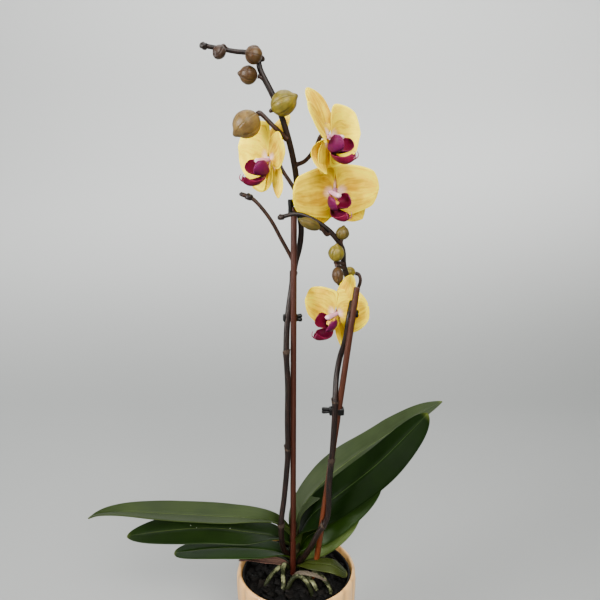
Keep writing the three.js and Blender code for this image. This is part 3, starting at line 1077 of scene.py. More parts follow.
@dataclass(frozen=True)
class DyedWood(Finish):
    """Dyed bamboo with a straight grain, red at its foot and browner higher up."""

    name: str
    foot: str
    middle: str
    dark: str
    turn: float

    def make(self) -> Material:
        """Makes the material.

        Returns:
            The material.
        """
        paint = Paint(self.name, specular_ior_level=0.25)
        place = paint.place()
        height = paint.part(place, "Z")
        grain = paint.noise(paint.scaled(place, (1500.0, 1500.0, 22.0)), 1, 4, 0.65)
        patches = paint.noise(paint.scaled(place, (60.0, 60.0, 12.0)), 1, 3)
        share = (height + patches * 0.08).ease(self.turn - 0.05, self.turn + 0.16)
        colour = paint.blend(share, self.foot, self.middle)
        colour = paint.blend(grain.ease(0.45, 0.75) * 0.65, colour, self.dark)
        colour = paint.blend(patches.ease(0.5, 0.75) * 0.35, colour, self.dark)
        return paint.finish(colour, 0.42 + grain * 0.2, grain, 0.25)


@dataclass(frozen=True)
class Moulded(Finish):
    """Moulded plastic with a fine grain and scuffs."""

    name: str
    colour: str
    scuff: str
    gloss: float = 0.45

    def make(self) -> Material:
        """Makes the material.

        Returns:
            The material.
        """
        paint = Paint(self.name, specular_ior_level=0.22)
        place = paint.place()
        grain = paint.noise(place, 1800, 2)
        scuffs = paint.noise(paint.scaled(place, (90.0, 90.0, 400.0)), 1, 4).ease(0.58, 0.75)
        colour = paint.blend(scuffs * 0.35, self.colour, self.scuff)
        return paint.finish(colour, self.gloss + scuffs * 0.2 + grain * 0.08, grain, 0.05)


@dataclass(frozen=True)
class Fibrous(Finish):
    """Bark or root: a rough skin whose tone drifts from place to place."""

    name: str
    dark: str
    middle: str
    light: str
    grain: Row = (160.0, 160.0, 160.0)
    drift: float = 48.0
    rough: float = 0.7
    depth: float = 0.8
    shine: float = 0.16

    def make(self) -> Material:
        """Makes the material.

        Returns:
            The material.
        """
        paint = Paint(self.name, specular_ior_level=self.shine)
        place = paint.place()
        fibres = paint.noise(paint.scaled(place, self.grain), 1, 5, 0.65)
        patches = paint.noise(place, self.drift, 3)
        colour = paint.ramp(
            fibres * 0.6 + patches * 0.5,
            (0.38, self.dark), (0.56, self.middle), (0.76, self.light),
        )
        return paint.finish(colour, self.rough + fibres * 0.2, fibres + patches * 0.5, self.depth)


@dataclass(frozen=True)
class Paper(Finish):
    """Backdrop paper with painted shade: darker towards its foot and towards +X, paler higher up.
    """

    name: str
    # low is painted shade at the foot, high the paper higher up; lean darkens it towards +X as
    # painted shade.
    low: str
    high: str
    lean: float = 0.12

    def make(self) -> Material:
        """Makes the material.

        Returns:
            The material.
        """
        paint = Paint(self.name, specular_ior_level=0.1)
        place = paint.place()
        # Painted shade: darker low down and towards +X, paler higher up.
        height = paint.part(place, "Z") - paint.part(place, "X") * self.lean
        return paint.finish(paint.blend(height.ease(-0.25, 0.6), self.low, self.high), 0.9)


# ---- Pots and bark ----
@dataclass
class CoverPot:
    """The glazed cover pot, with soft ribs between narrow grooves."""

    wall: Profile = (
        (58, 2), (61.2, 20), (65.2, 50), (68.4, 80), (69.9, 104), (70, 117)
    )
    foot: Profile = ((55.4, 0), (57.0, 0.25), (57.8, 1.0))
    rim: Profile = (
        (69.8, 119.5), (69.2, 121.7), (68.5, 123.3), (67.6, 124.5), (66.6, 125), (65.6, 124.7),
        (64.9, 123.8), (64.5, 122.4),
    )
    inside: Profile = ((64.3, 110), (64, 80), (52, 12), (46, 6))
    ribs: int = 20
    rib_depth: float = 1.7
    rib_turn: float = -2.5
    sides: int = 320
    rows: int = 44
    glaze: Glaze = Glaze()

    def _grooved(self, spot: Vector) -> Vector:
        """Draws a point of the outer wall in where a groove runs.

        Args:
            spot: A point of the turned body, in metres.

        Returns:
            The point, drawn in.
        """
        height, radius = spot.z / MM, hypot(spot.x, spot.y) / MM
        if height < 1.0 or height > 124.5 or radius < 58 + 0.105 * height - 1.6:
            return spot
        turn = atan2(spot.x, -spot.y) - radians(self.rib_turn)
        groove = abs(cos(turn * self.ribs / 2)) ** 6
        fade = smooth((height - 1) / 6) * smooth((124.2 - height) / 7)
        share = 1 - self.rib_depth * groove * fade / radius
        return Vector((spot.x * share, spot.y * share, spot.z))

    def build(self) -> None:
        """Builds and dresses the pot."""
        curve = Path([(radius, 0, height) for radius, height in self.wall])
        steps = [curve.at(i / self.rows) / MM for i in range(self.rows + 1)]
        rows = [*self.foot, *((spot.x, spot.z) for spot in steps), *self.rim, *self.inside]
        body = turned("glazed_cover_pot", rows, self.sides)
        for vertex in body.data.vertices:
            vertex.co = self._grooved(vertex.co.copy())
        mount(coat(body, self.glaze), "cover_pot_glaze", "outer_pot")


@dataclass
class NurseryPot:
    """The thin black pot that the plant grows in, with drain holes in its floor."""

    rows: Profile = (
        (45.2, 6.3), (46.0, 6.8), (61.0, 111.3), (62.9, 111.6), (63.3, 112.2), (63.3, 118.5),
        (62.9, 119.2), (62.2, 119.3), (61.5, 119.2), (61.1, 118.6), (59.7, 111.3), (44.8, 8.3),
        (44.2, 7.7),
    )
    holes: int = 6
    hole_radius: float = 4.0
    hole_ring: float = 30.0
    floor: float = 7.0
    plastic: Moulded = Moulded("liner_black", "#060504", "#15110e", 0.5)

    def build(self) -> None:
        """Builds and dresses the pot."""
        body = turned("black_nursery_pot", self.rows, 128)
        drills = []
        for i in range(self.holes):
            turn = tau * i / self.holes
            spot = Vector((cos(turn), sin(turn), 0)) * self.hole_ring
            spot = (spot + Vector((0, 0, self.floor))) * MM
            drills.append(drill(spot, self.hole_radius, 10))
        bore(body, *drills)
        bpy.ops.object.shade_smooth_by_angle(angle=CREASE)
        mount(coat(body, self.plastic), "liner_plastic", "nursery_pot")


@dataclass
class BarkBed:
    """Coarse bark that fills the nursery pot, with loose chips on top."""

    floor: float = 8.3
    top: float = 111.0
    floor_radius: float = 44.0
    top_radius: float = 58.6
    chips: int = 300
    chip: Row = (11, 7, 3.4)
    spread: float = 56.0
    seed: int = 11
    # Painted shade: the bark is darkened almost to black, partly its own dark wet tone and partly
    # the shade under the leaves.
    bark: Fibrous = Fibrous("bark_shaded_black", "#010101", "#040302", "#130d08")

    def _bed(self) -> Object:
        """The mass of bark under the loose chips.

        Returns:
            The bed.
        """
        shares = (1, 0.9, 0.75, 0.6, 0.45, 0.3, 0.15)
        rings = [(self.top_radius * share, self.top) for share in shares]
        bed = turned("bark", [(self.floor_radius, self.floor), *rings], 48)
        for vertex in bed.data.vertices:
            if vertex.co.z > (self.top - 1) * MM:
                vertex.co.z += 2.0 * MM * wobble(vertex.co, 0.009, 4.0)
        return bed

    def _chip(self, template: Object, draw: random.Random) -> Object:
        """One loose chip, scaled, broken and dropped at a place of its own.

        Args:
            template: The chip to copy.
            draw: Draws the chances.

        Returns:
            The chip.
        """
        chip = template.copy()
        chip.data = template.data.copy()
        link(chip)
        seed = draw.uniform(0, 50)
        size = Vector((draw.uniform(0.6, 1.5), draw.uniform(0.6, 1.4), draw.uniform(0.6, 1.6)))
        out = self.spread * sqrt(draw.random())
        turn = draw.uniform(0, tau)
        lift = self.top + draw.uniform(-1.0, 4.0)
        place = shift((out * cos(turn), out * sin(turn), lift))
        tilt = Euler((draw.gauss(0, 0.35), draw.gauss(0, 0.35), draw.uniform(0, tau)))
        place = place @ tilt.to_matrix().to_4x4()
        for vertex in chip.data.vertices:
            spot = vertex.co * size
            push = wobble(spot, 0.004, seed)
            vertex.co = place @ (spot * (1 + 0.28 * push) + Vector((0, 0, 0.9 * MM * push)))
        return chip

    def build(self) -> None:
        """Builds and dresses the bark."""
        draw = random.Random(self.seed)
        template = block("chip", self.chip, 1.0, segments=1)
        chips = [self._chip(template, draw) for _ in range(self.chips)]
        bpy.data.objects.remove(template)
        bed = joined("bark_bed", [self._bed(), *chips])
        mount(coat(bed, self.bark), "bark", "bark_mix")


@dataclass
class CrownAndRoots:
    """The short trunk and the thick roots that leave it and dive into the bark."""

    centre: Row = (-2, 13, 136)
    reach: Row = (7, 8.5, 40)
    radii: tuple[float, float] = (2.8, 2.1)
    lumps: float = 0.13
    bark: Fibrous = Fibrous(
        "trunk_green", "#0c0c06", "#191a0c", "#39351f", (60, 60, 260), 60, 0.5, 0.4
    )
    root_skin: Fibrous = Fibrous(
        "root_silver", "#0a0d05", "#20250f", "#b4b888", (70, 70, 70), 60, 0.5, 0.25
    )
    routes: Sequence[Rows] = (
        (
            (0, 9, 108), (-5, -12, 104), (-10, -24, 108), (-9.4, -30, 119), (-4.2, -28, 129),
            (0.5, -27, 131.5), (5.4, -27.5, 131), (10.5, -29, 127.5), (14.5, -31, 121.5),
            (17.5, -32.5, 114), (19, -33, 103),
        ),
        ((1, 9, 112), (8, 0, 118), (13, -12, 120), (20, -22, 118), (24, -27, 112), (26, -30, 103)),
        (
            (3, 12, 114), (13, 4, 125), (22.8, -14, 127), (29.2, -20, 126), (34, -25, 122.5),
            (38, -28, 117), (41, -29, 104),
        ),
        ((0, 9, 108), (-1, -6, 116), (-5, -16, 118), (-8, -22, 114), (-10, -26, 103)),
        (
            (-5, 10, 112), (-14, 0, 127), (-15.3, -14.8, 126), (-14.6, -25, 121),
            (-14.8, -29, 115), (-15.5, -31, 103),
        ),
        (
            (-6, 13, 112), (-18, 4, 122), (-24, -8, 125), (-29, -14, 123), (-34, -20, 118),
            (-38, -22, 105),
        ),
        ((-6, 16, 114), (-22, 22, 121), (-34, 26, 120), (-43, 29, 108)),
        ((0, 18, 116), (4, 32, 122), (2, 43, 118), (-2, 50, 105)),
        ((4, 15, 114), (20, 24, 121), (33, 28, 119), (42, 30, 106)),
    )

    def _trunk(self) -> Object:
        """The trunk, ringed where old leaves came away.

        Returns:
            The trunk.
        """
        middle, reach = Vector(self.centre) * MM, Vector(self.reach) * MM

        def skin(spot: Vector) -> Vector:
            """Where a point of the unit sphere goes."""
            ring = 1 + 0.05 * sin(spot.z * 30) + 0.05 * wobble(spot, 0.6)
            return middle + Vector((spot.x * ring, spot.y * ring, spot.z)) * reach

        return ball("trunk", 32, 48, skin)

    def _root(self, number: int, route: Rows) -> Object:
        """One root, with the uneven thickness of a living one.

        Args:
            number: Sets its own lumps.
            route: Its middle line in millimetres.

        Returns:
            The root.
        """
        path = Path(route)

        def radius(share: float, angle: float) -> float:
            """The radius at a place on the stem."""
            spot = path.at(share) + Vector((cos(angle), sin(angle), number)) * 0.002
            return mix(*self.radii, share) * (1 + self.lumps * wobble(spot, 0.007, number))

        return tube(f"root_{number}", path, radius, sides=14, rings=44)

    def build(self) -> None:
        """Builds and dresses the crown and its roots."""
        roots = [coat(self._root(i, row), self.root_skin) for i, row in enumerate(self.routes)]
        body = joined("crown_with_roots", [coat(self._trunk(), self.bark), *roots])
        mount(body, "root_skin", "crown_and_roots")


# ---- Leaves ----
UNDERSIDE = LeafSkin("leaf_underside", "#273311", "#39461c", rib="#556231", gloss=0.5, dust=0.0)
DEAD = DrySkin("dead_leaf", "#75564a", "#30221a", "#704840")


@dataclass
class Leaf:
    """One leaf, shaped about its midrib.

    Attributes:
        node: The CAD node that it stands for.
        midrib: Its middle line from foot to tip, in millimetres.
        width: Across its widest place.
        outline: How its width goes.
        roll: How far the blade turns about its midrib, at its foot and further out, in degrees.
        fold: How far each half rises from the midrib, likewise.
        uneven: How much narrower its far half gets further out.
        skin: The finish of its upper face.
        under: The finish of its underside.
        thickness: In millimetres.
        waves: The height of the waves along its edges.
        slot: The record's material slot.
    """

    node: str
    midrib: Rows
    width: float
    outline: Outline
    roll: tuple[float, float]
    fold: tuple[float, float]
    skin: LeafSkin | DrySkin
    under: LeafSkin | DrySkin = UNDERSIDE
    thickness: float = 1.5
    waves: float = 0.9
    uneven: float = 0.0
    slot: str = "leaf_skin"
    steps: int = 64
    columns: int = 20

    CHANNEL = 0.9
    WAVELENGTH = 0.045

    def _surface(self) -> Surface:
        """The middle of the blade's thickness.

        Returns:
            Where each (along, across) place goes.
        """
        path = Path(self.midrib)

        def surface(u: float, v: float) -> Vector:
            """Where a place on the blade goes.

            Args:
                u: From 0 at its foot to 1 at its tip.
                v: From -1 at one edge to 1 at the other.

            Returns:
                The point, in metres.
            """
            along = 1 - (1 - u) ** 1.5
            across = copysign(abs(v) ** 1.25, v)
            tangent = path.heading(along)
            side = UP.cross(tangent).normalized()
            reach = smooth(along / 0.35)
            side = Quaternion(tangent, radians(mix(*self.roll, reach))) @ side
            face = tangent.cross(side)
            half = max(self.width / 2 * self.outline.at(along), NARROWEST) * MM
            if across > 0:
                half *= 1 - self.uneven * smooth(along * 1.6 - 0.35)
            rise = radians(mix(*self.fold, reach))
            arm = sqrt(across * across + 0.01) - 0.1
            spot = path.at(along)
            channel = self.CHANNEL * bump(across, 0, 0.07) * smooth((1 - along) * 8)
            wave = wobble(spot + side * half * across, self.WAVELENGTH, self.width)
            ripple = self.waves * across * across * wave
            out = half * arm * sin(rise) + (ripple - channel) * MM
            return spot + side * half * across * cos(rise) + face * out

        return surface

    def build(self) -> None:
        """Builds and dresses the leaf."""
        name = f"{self.node}_blade"
        body = blade(name, self.steps, self.columns, self._surface(), self.thickness)
        mount(coat(body, self.skin, self.under), self.slot, self.node)


LEAVES = (
    Leaf(
        "leaf_upper_left",
        (
            (-4, 12, 156), (-22, 6, 177), (-50, 2, 186), (-103, 1, 190),
            (-160, 1, 193.5), (-205, 0, 196), (-228, 0, 193), (-241, 0, 187),
        ),
        45, Outline(0.3, 0.45, 0.8), (0, 0), (40, 13),
        # A lit copy of the leaf skin: its lighter, greyer greens paint the light and sheen from
        # above.
        LeafSkin("leaf_lit_soft_green", "#1a2607", "#2a380e"),
    ),
    Leaf(
        "leaf_middle_left",
        (
            (-4, 11, 142), (-22, 9, 157), (-54, 5, 166), (-97, 3, 173), (-150, 1, 171),
            (-197, -1, 165),
        ),
        46, Outline(0.42, 0.5, 0.58), (0, -21), (40, 6),
        LeafSkin("leaf_dusty_green", "#0c1a04", "#192b08", dust=0.12),
    ),
    Leaf(
        "leaf_lower_left",
        ((-4, 12, 124), (-20, 7, 138), (-54, 2, 147), (-100, 0, 148), (-143, -1, 143)),
        40, Outline(0.45, 0.5, 0.45), (0, -4), (35, 3),
        LeafSkin("leaf_yellowing", "#0c1d02", "#172f03", tip="#556015"),
    ),
    Leaf(
        "leaf_upper_right",
        (
            (0, 14, 165), (5, 18, 187), (31, 33, 214), (69, 46, 240.5),
            (111, 37, 277), (148, 31, 306.5), (169, 29, 319.5),
        ),
        48, Outline(0.4, 0.5, 0.8, 0.95), (0, 24), (40, 10),
        # A lit copy of the leaf skin: its lighter, greyer greens paint the light and sheen from
        # above.
        LeafSkin("leaf_lit_green", "#1d2712", "#303b20"),
    ),
    Leaf(
        "leaf_broad_right",
        (
            (3, 13, 142), (10, 10, 174), (23, 5, 193.5), (44, 2, 212.5),
            (91, -4, 257.5), (125, -9, 298), (144, -11, 321),
        ),
        50, Outline(0.58, 0.6, 0.55, 0.85), (10, 48), (30, -14),
        # A shaded copy of the leaf skin: its near-black greens paint the shade under the upper
        # right leaf.
        LeafSkin("leaf_shaded_green", "#050f02", "#0c1b03", rib="#3f5526", gloss=0.38, shine=0.03),
        uneven=0.18,
    ),
    Leaf(
        "leaf_middle_right",
        ((1, 14, 128), (12, 13, 154), (28, 10, 166.5), (63, 5, 200), (98, 3, 227)),
        40, Outline(0.5, 0.55, 0.7, 0.9), (10, 45), (30, -14),
        # Its bright rib colour paints a highlight along the midrib.
        LeafSkin("leaf_ribbed_green", "#0f1f02", "#1d3404", rib="#93a460", shine=0.14),
    ),
    Leaf(
        "leaf_lower_right",
        ((1, 13, 116), (12, 13, 138), (28, 11, 151), (51, 7, 172), (74, 4, 195)),
        36, Outline(0.35, 0.5, 0.6), (10, 50), (25, -6),
        LeafSkin("leaf_light_green", "#303f18", "#4a5c26"),
    ),
    Leaf(
        "leaf_short_right",
        ((2, 5, 119), (8, -6, 133), (20, -17, 141), (42, -23, 142), (58, -22, 130)),
        20, Outline(0.3, 0.72, 0.36), (0, 14), (30, -8),
        LeafSkin("leaf_olive", "#161e05", "#363e12", tip="#7a7c34"),
        steps=44, columns=14,
    ),
    Leaf(
        "leaf_withered",
        ((-5, 11, 114), (-20, 6, 124), (-40, 2, 130), (-56, 1, 133), (-68, 2, 131)),
        15, Outline(0.5, 0.6, 0.6), (0, -20), (40, 42), DEAD, DEAD,
        thickness=0.9, waves=4.0, slot="dry_leaf", steps=44, columns=14,
    ),
)


@dataclass
class DryHusk:
    """A strip of papery old leaf base along the front edge of the short leaf."""

    route: Rows = ((-4, -13, 122), (0, -21, 131), (8, -28.5, 137.5), (22, -34, 138), (34, -35, 132))
    width: float = 5.2
    thickness: float = 0.5
    paper: DrySkin = DrySkin("dry_husk_paper", "#746b5c", "#30281e", "#5a5040")

    def build(self) -> None:
        """Builds and dresses the strip."""
        path = Path(self.route)

        def surface(along: float, across: float) -> Vector:
            """Where a place on the blade goes.

            Args:
                along: From 0 at its foot to 1 at its tip.
                across: From -1 at one edge to 1 at the other.

            Returns:
                The point, in metres.
            """
            side = path.axes(along)[0].cross(path.heading(along))
            half = self.width / 2 * MM * (0.35 + 0.65 * sin(pi * along) ** 0.6)
            spot = path.at(along) + Vector((0, 0.25, 0.97)) * half * across
            curl = 0.9 * across * across + 0.8 * wobble(spot, 0.006, 2.0)
            return spot + side * 0.2 * MM * across - Vector((0, 1, 0)) * curl * MM

        body = blade("dry_husk", 40, 8, surface, self.thickness)
        mount(coat(body, self.paper), "dry_leaf")


# ---- Flowers ----
class Kind(Enum):
    """Whether one of a flower's five blades is a sepal or a petal."""

    SEPAL = "sepal"
    PETAL = "petal"


@dataclass(frozen=True)
class Tepal:
    """A sepal or petal in its flower's own frame, in millimetres and degrees.

    Attributes:
        kind: Sepal or petal.
        angle: Which way it points, anticlockwise from the flower's right.
        length: From the flower's middle to its tip.
        width: Across its widest place.
        layer: How far in front of the flower's middle it starts.
        sweep: How far its tip bends forwards.
        outline: How its width goes.
        ear: How far its edges reach back past its foot.
        cup: How far its edges fall back.
        frill: The height of the waves in its edge.
        arch: How far its middle bows back.
        twist: How far its lower edge turns to the front about its own length.
    """

    kind: Kind
    angle: float
    length: float
    width: float
    layer: float
    sweep: float
    outline: Outline
    ear: float
    cup: float = 1.6
    frill: float = 1.1
    arch: float = 0.0
    twist: float = 0.0

    START = 2.5
    THICKNESS = 0.75
    RIB = 0.5
    WAVELENGTH = 0.016

    def build(self, name: str, pose: Matrix, seed: float) -> Object:
        """Builds the blade.

        Args:
            name: Its name.
            pose: Where its flower is.
            seed: Sets its own waves.

        Returns:
            The blade, with its face to the front.
        """
        turn = radians(self.angle)
        ahead = Vector((cos(turn), sin(turn), 0))
        side = Vector((-sin(turn), cos(turn), 0))

        def surface(u: float, v: float) -> Vector:
            """Where a place on the blade goes.

            Args:
                u: From 0 at its foot to 1 at its tip.
                v: From -1 at one edge to 1 at the other.

            Returns:
                The point, in metres.
            """
            along = 1 - (1 - u) ** 1.35
            half = max(self.width / 2 * self.outline.at(along), NARROWEST)
            back = self.ear * v * v * sin(pi * min(along * 1.15, 1))
            out = self.START + (self.length - self.START) * along - back
            flat = Vector((out, half * v, seed * 9)) * MM
            wave = self.frill * wobble(flat, self.WAVELENGTH, seed)
            wave *= (0.25 + v * v) * smooth(along * 2)
            rib = self.RIB * bump(v, 0, 0.06) * (1 - along)
            rise = self.layer + self.sweep * along * along - self.cup * v * v * along + wave - rib
            rise -= self.arch * sin(pi * along)
            lean = radians(self.twist) * smooth(along * 4)
            spread = side * cos(lean) + Vector((0, 0, sin(lean)))
            return pose @ ((ahead * out + spread * half * v + Vector((0, 0, rise))) * MM)

        return blade(name, 26, 20, surface, self.THICKNESS)


SEPAL = Tepal(Kind.SEPAL, 90, 44, 28, -1.4, -10, Outline(0.22, 0.52, 0.6, 0.85), ear=2.0, frill=0.8)
PETAL = Tepal(Kind.PETAL, 168, 44, 54, 1.4, 5, Outline(0.18, 0.44, 0.5, 0.6), ear=14.0)
SIDE_SEPAL = replace(SEPAL, length=39, width=25, sweep=-2, outline=Outline(0.2, 0.48, 0.7, 0.85))
TEPALS = {
    "dorsal_sepal": SEPAL,
    "left_sepal": replace(SIDE_SEPAL, angle=232),
    "right_sepal": replace(SIDE_SEPAL, angle=308, layer=-2.9),
    "left_petal": PETAL,
    "right_petal": replace(PETAL, angle=12),
}


class Skins:
    """The finishes that all the flowers share."""

    # Painted light: PETAL is the shaded copy, darker gold, for petals in shade; HALF_LIT and SUNLIT
    # are lit copies, brighter gold with more painted glow, for petals that face the light.
    PETAL = PetalSkin("petal_shaded_gold", "#bc9008")
    PETAL_BACK = PetalSkin("petal_back", "#d8aa0a", reach=0.45)
    HALF_LIT = PetalSkin("petal_half_lit", "#d4a409", glow=0.5)
    SUNLIT = PetalSkin("petal_sunlit", "#ecc408", glow=1.9)
    SEPAL = PetalSkin("sepal_gold", "#cc9c08", reach=0.5, midline=0.2)
    SEPAL_BACK = PetalSkin("sepal_back", "#cc9c0a", reach=0.5, midline=0.2)
    BOAT = LipSkin("boat_magenta", "#d8a83c", "#4a0420", "#64142e", edge=0.93, polish=0.08)
    LOBE_INSIDE = LipSkin("lobe_magenta", "#4c051c", "#5c0626", "#6a1034", edge=0.9)
    LOBE_OUTSIDE = LipSkin("lobe_mauve", "#420520", "#580c3a", "#6e204c", edge=0.9)
    CREAM = LipSkin("tendril_cream", "#5c1030", "#7c2c48", "#b08088")
    CALLUS = LipSkin("callus_spotted", "#d9b04a", "#d8a83e", "#d8a83e", spots="#6b2a1c")
    COLUMN = LipSkin("column_lilac", "#a86484", "#c890a6", "#c890a6")
    CAP = LipSkin("cap_pale", "#d0a0b0", "#dab4bc", "#dab4bc")
    THROAT = LipSkin("throat_dark", "#7a2748", "#7a2748", "#7a2748")


@dataclass
class Lip:
    """A flower's lip: a keeled boat, two upright side lobes, a callus and two tendrils."""

    keel: Rows = (
        (0, -3, 2.5), (0, -10.5, 4.5), (0, -18.5, 9), (0, -23.5, 18), (0, -23, 27), (0, -18, 34.5)
    )
    side: Rows = (
        (0.6, -15, 10), (5.8, -13.6, 12.8), (10.2, -8, 15.2), (11, -1.8, 15.6), (10.4, 1.2, 15.4)
    )
    wing: Row = (0.12, 0.1, 0.98)
    tendril: Rows = ((0.8, -18.5, 33), (2.0, -16.2, 35), (2.8, -13.2, 34.6), (3.0, -11.4, 33))
    tendril_radii: tuple[float, float] = (0.75, 0.3)
    foot_half: float = 1.5
    boat_half: float = 8.2
    side_half: float = 8.6
    boat_thickness: float = 1.0
    side_thickness: float = 0.9
    callus: Row = (3.2, 2.4, 3.0)
    callus_centre: Row = (0, -8.5, 10.5)

    def _boat(self, pose: Matrix) -> Object:
        """The middle lobe.

        Args:
            pose: Where its flower is.

        Returns:
            The lobe.
        """
        path = Path(self.keel)

        def surface(along: float, across: float) -> Vector:
            """Where a place on the blade goes.

            Args:
                along: From 0 at its foot to 1 at its tip.
                across: From -1 at one edge to 1 at the other.

            Returns:
                The point, in metres.
            """
            opening = sin(pi * smooth((along - 0.1) / 0.98))
            half = self.foot_half + self.boat_half * opening
            face = Vector((1, 0, 0)).cross(path.heading(along)).normalized() * -1
            lift = 4.8 * across * across * smooth(along * 2 - 0.3) + 0.8 * abs(across)
            spot = path.at(along) + Vector((half * across * MM, 0, 0)) + face * lift * MM
            return pose @ (spot + face * 0.35 * MM * wobble(spot, 0.004, 1.0))

        return blade("boat", 26, 14, surface, self.boat_thickness)

    def _side(self, pose: Matrix, hand: int) -> Object:
        """One side lobe, cupped towards the column.

        Args:
            pose: Where its flower is.
            hand: 1 for the right side and -1 for the left.

        Returns:
            The lobe.
        """
        path = Path([(hand * x, y, z) for x, y, z in self.side])
        wing = Vector((hand * self.wing[0], 0, self.wing[2])).normalized()

        def surface(along: float, across: float) -> Vector:
            """Where a place on the blade goes.

            Args:
                along: From 0 at its foot to 1 at its tip.
                across: From -1 at one edge to 1 at the other.

            Returns:
                The point, in metres.
            """
            opening = sin(pi * min(0.12 + 0.86 * along, 1)) ** 0.45
            half = self.foot_half + self.side_half * opening
            face = path.heading(along).cross(wing).normalized() * hand
            cup = 0.5 * wobble(path.at(along), 0.006, hand) - 3.0 * across * across
            return pose @ (path.at(along) + (wing * half * across + face * cup) * MM)

        return blade("side_lobe", 20, 16, surface, self.side_thickness)

    def _callus(self, pose: Matrix) -> Object:
        """The lumpy pad between the side lobes.

        Args:
            pose: Where its flower is.

        Returns:
            The pad.
        """

        def skin(spot: Vector) -> Vector:
            """Where a point of the unit sphere goes."""
            lump = 1 + 0.3 * wobble(spot, 0.8, 3.0) + 0.25 * abs(spot.x)
            return pose @ ((spot * Vector(self.callus) * lump + Vector(self.callus_centre)) * MM)

        return ball("callus", 28, 18, skin)

    def _tendril(self, pose: Matrix, hand: int) -> Object:
        """One of the thin tendrils at the boat's end.

        Args:
            pose: Where its flower is.
            hand: 1 for the right side and -1 for the left.

        Returns:
            The tendril.
        """
        spots = (Vector((hand * x, y, z)) * MM for x, y, z in self.tendril)
        path = Path([tuple(pose @ spot / MM) for spot in spots])
        thin = self.tendril_radii
        return tube("tendril", path, lambda share, angle: mix(*thin, share), sides=8, rings=20)

    def build(self, name: str, pose: Matrix) -> None:
        """Builds and dresses the lip.

        Args:
            name: The CAD node that it stands for.
            pose: Where it is.
        """
        pieces = [coat(self._boat(pose), Skins.BOAT, Skins.LOBE_INSIDE)]
        for hand in (-1, 1):
            order = (Skins.LOBE_INSIDE, Skins.LOBE_OUTSIDE)
            pieces.append(coat(self._side(pose, hand), *order[::-hand]))
            pieces.append(coat(self._tendril(pose, hand), Skins.CREAM))
        pieces.append(coat(self._callus(pose), Skins.CALLUS))
        mount(joined(f"{name}_form", pieces), "lip_skin", name)


@dataclass
class Column:
    """The stubby column over a flower's lip, hollow below its pale anther cap."""

    route: Rows = ((0, 0, -4), (0, 0, 4), (0, -0.2, 10), (0, -0.6, 15.5))
    radii: tuple[float, float] = (2.0, 2.9)

    def build(self, name: str, pose: Matrix, seat: Matrix) -> None:
        """Builds and dresses the column.

        Args:
            name: The CAD node that it stands for.
            pose: Where the column is.
            seat: Where its flower's middle is.
        """
        path = Path(self.route)
        placed = Path([tuple(pose @ path.at(i / 6) / MM) for i in range(7)])
        down = (pose.to_3x3() @ Vector((0, -1, 0))).normalized()

        def radius(share: float, angle: float) -> float:
            """The radius at a place on the stem.

            Args:
                share: How far along the length, from 0 to 1.
                angle: The angle round it.

            Returns:
                The radius in millimetres.
            """
            normal, other = placed.axes(share)
            below = (normal * cos(angle) + other * sin(angle)).dot(down)
            hollow = 1 - 0.5 * smooth((below - 0.35) * 2) * bump(share, 0.8, 0.16)
            return mix(*self.radii, smooth((share - 0.3) * 1.8)) * hollow

        def pad(name: str, mesh: tuple[int, int], place: Matrix, size: Row, middle: Row) -> Object:
            """A rounded body with these faces, half sizes and middle."""
            half, centre = Vector(size), Vector(middle)
            return ball(name, *mesh, lambda spot: place @ ((spot * half + centre) * MM))

        pieces = [
            coat(tube("column", placed, radius, sides=24, rings=32), Skins.COLUMN),
            coat(pad("seat", (20, 10), seat, (4.6, 4.6, 0.9), (0, 0, -2.2)), Skins.COLUMN),
            coat(pad("anther_cap", (24, 16), pose, (2.7, 2.3, 2.5), (0, 0.2, 15.6)), Skins.CAP),
            coat(pad("stigma", (16, 10), pose, (1.6, 0.7, 1.8), (0, -1.5, 12.2)), Skins.THROAT),
        ]
        mount(joined(f"{name}_form", pieces), "column_skin", name)


# Petals that take the lit copies of the petal skin, painted brighter where more light falls on
# them.
SUNLIT = ("flower_left_left_petal", "flower_top_right_petal")
HALF_LIT = ("flower_front_right_petal", "flower_low_left_petal", "flower_left_right_petal")


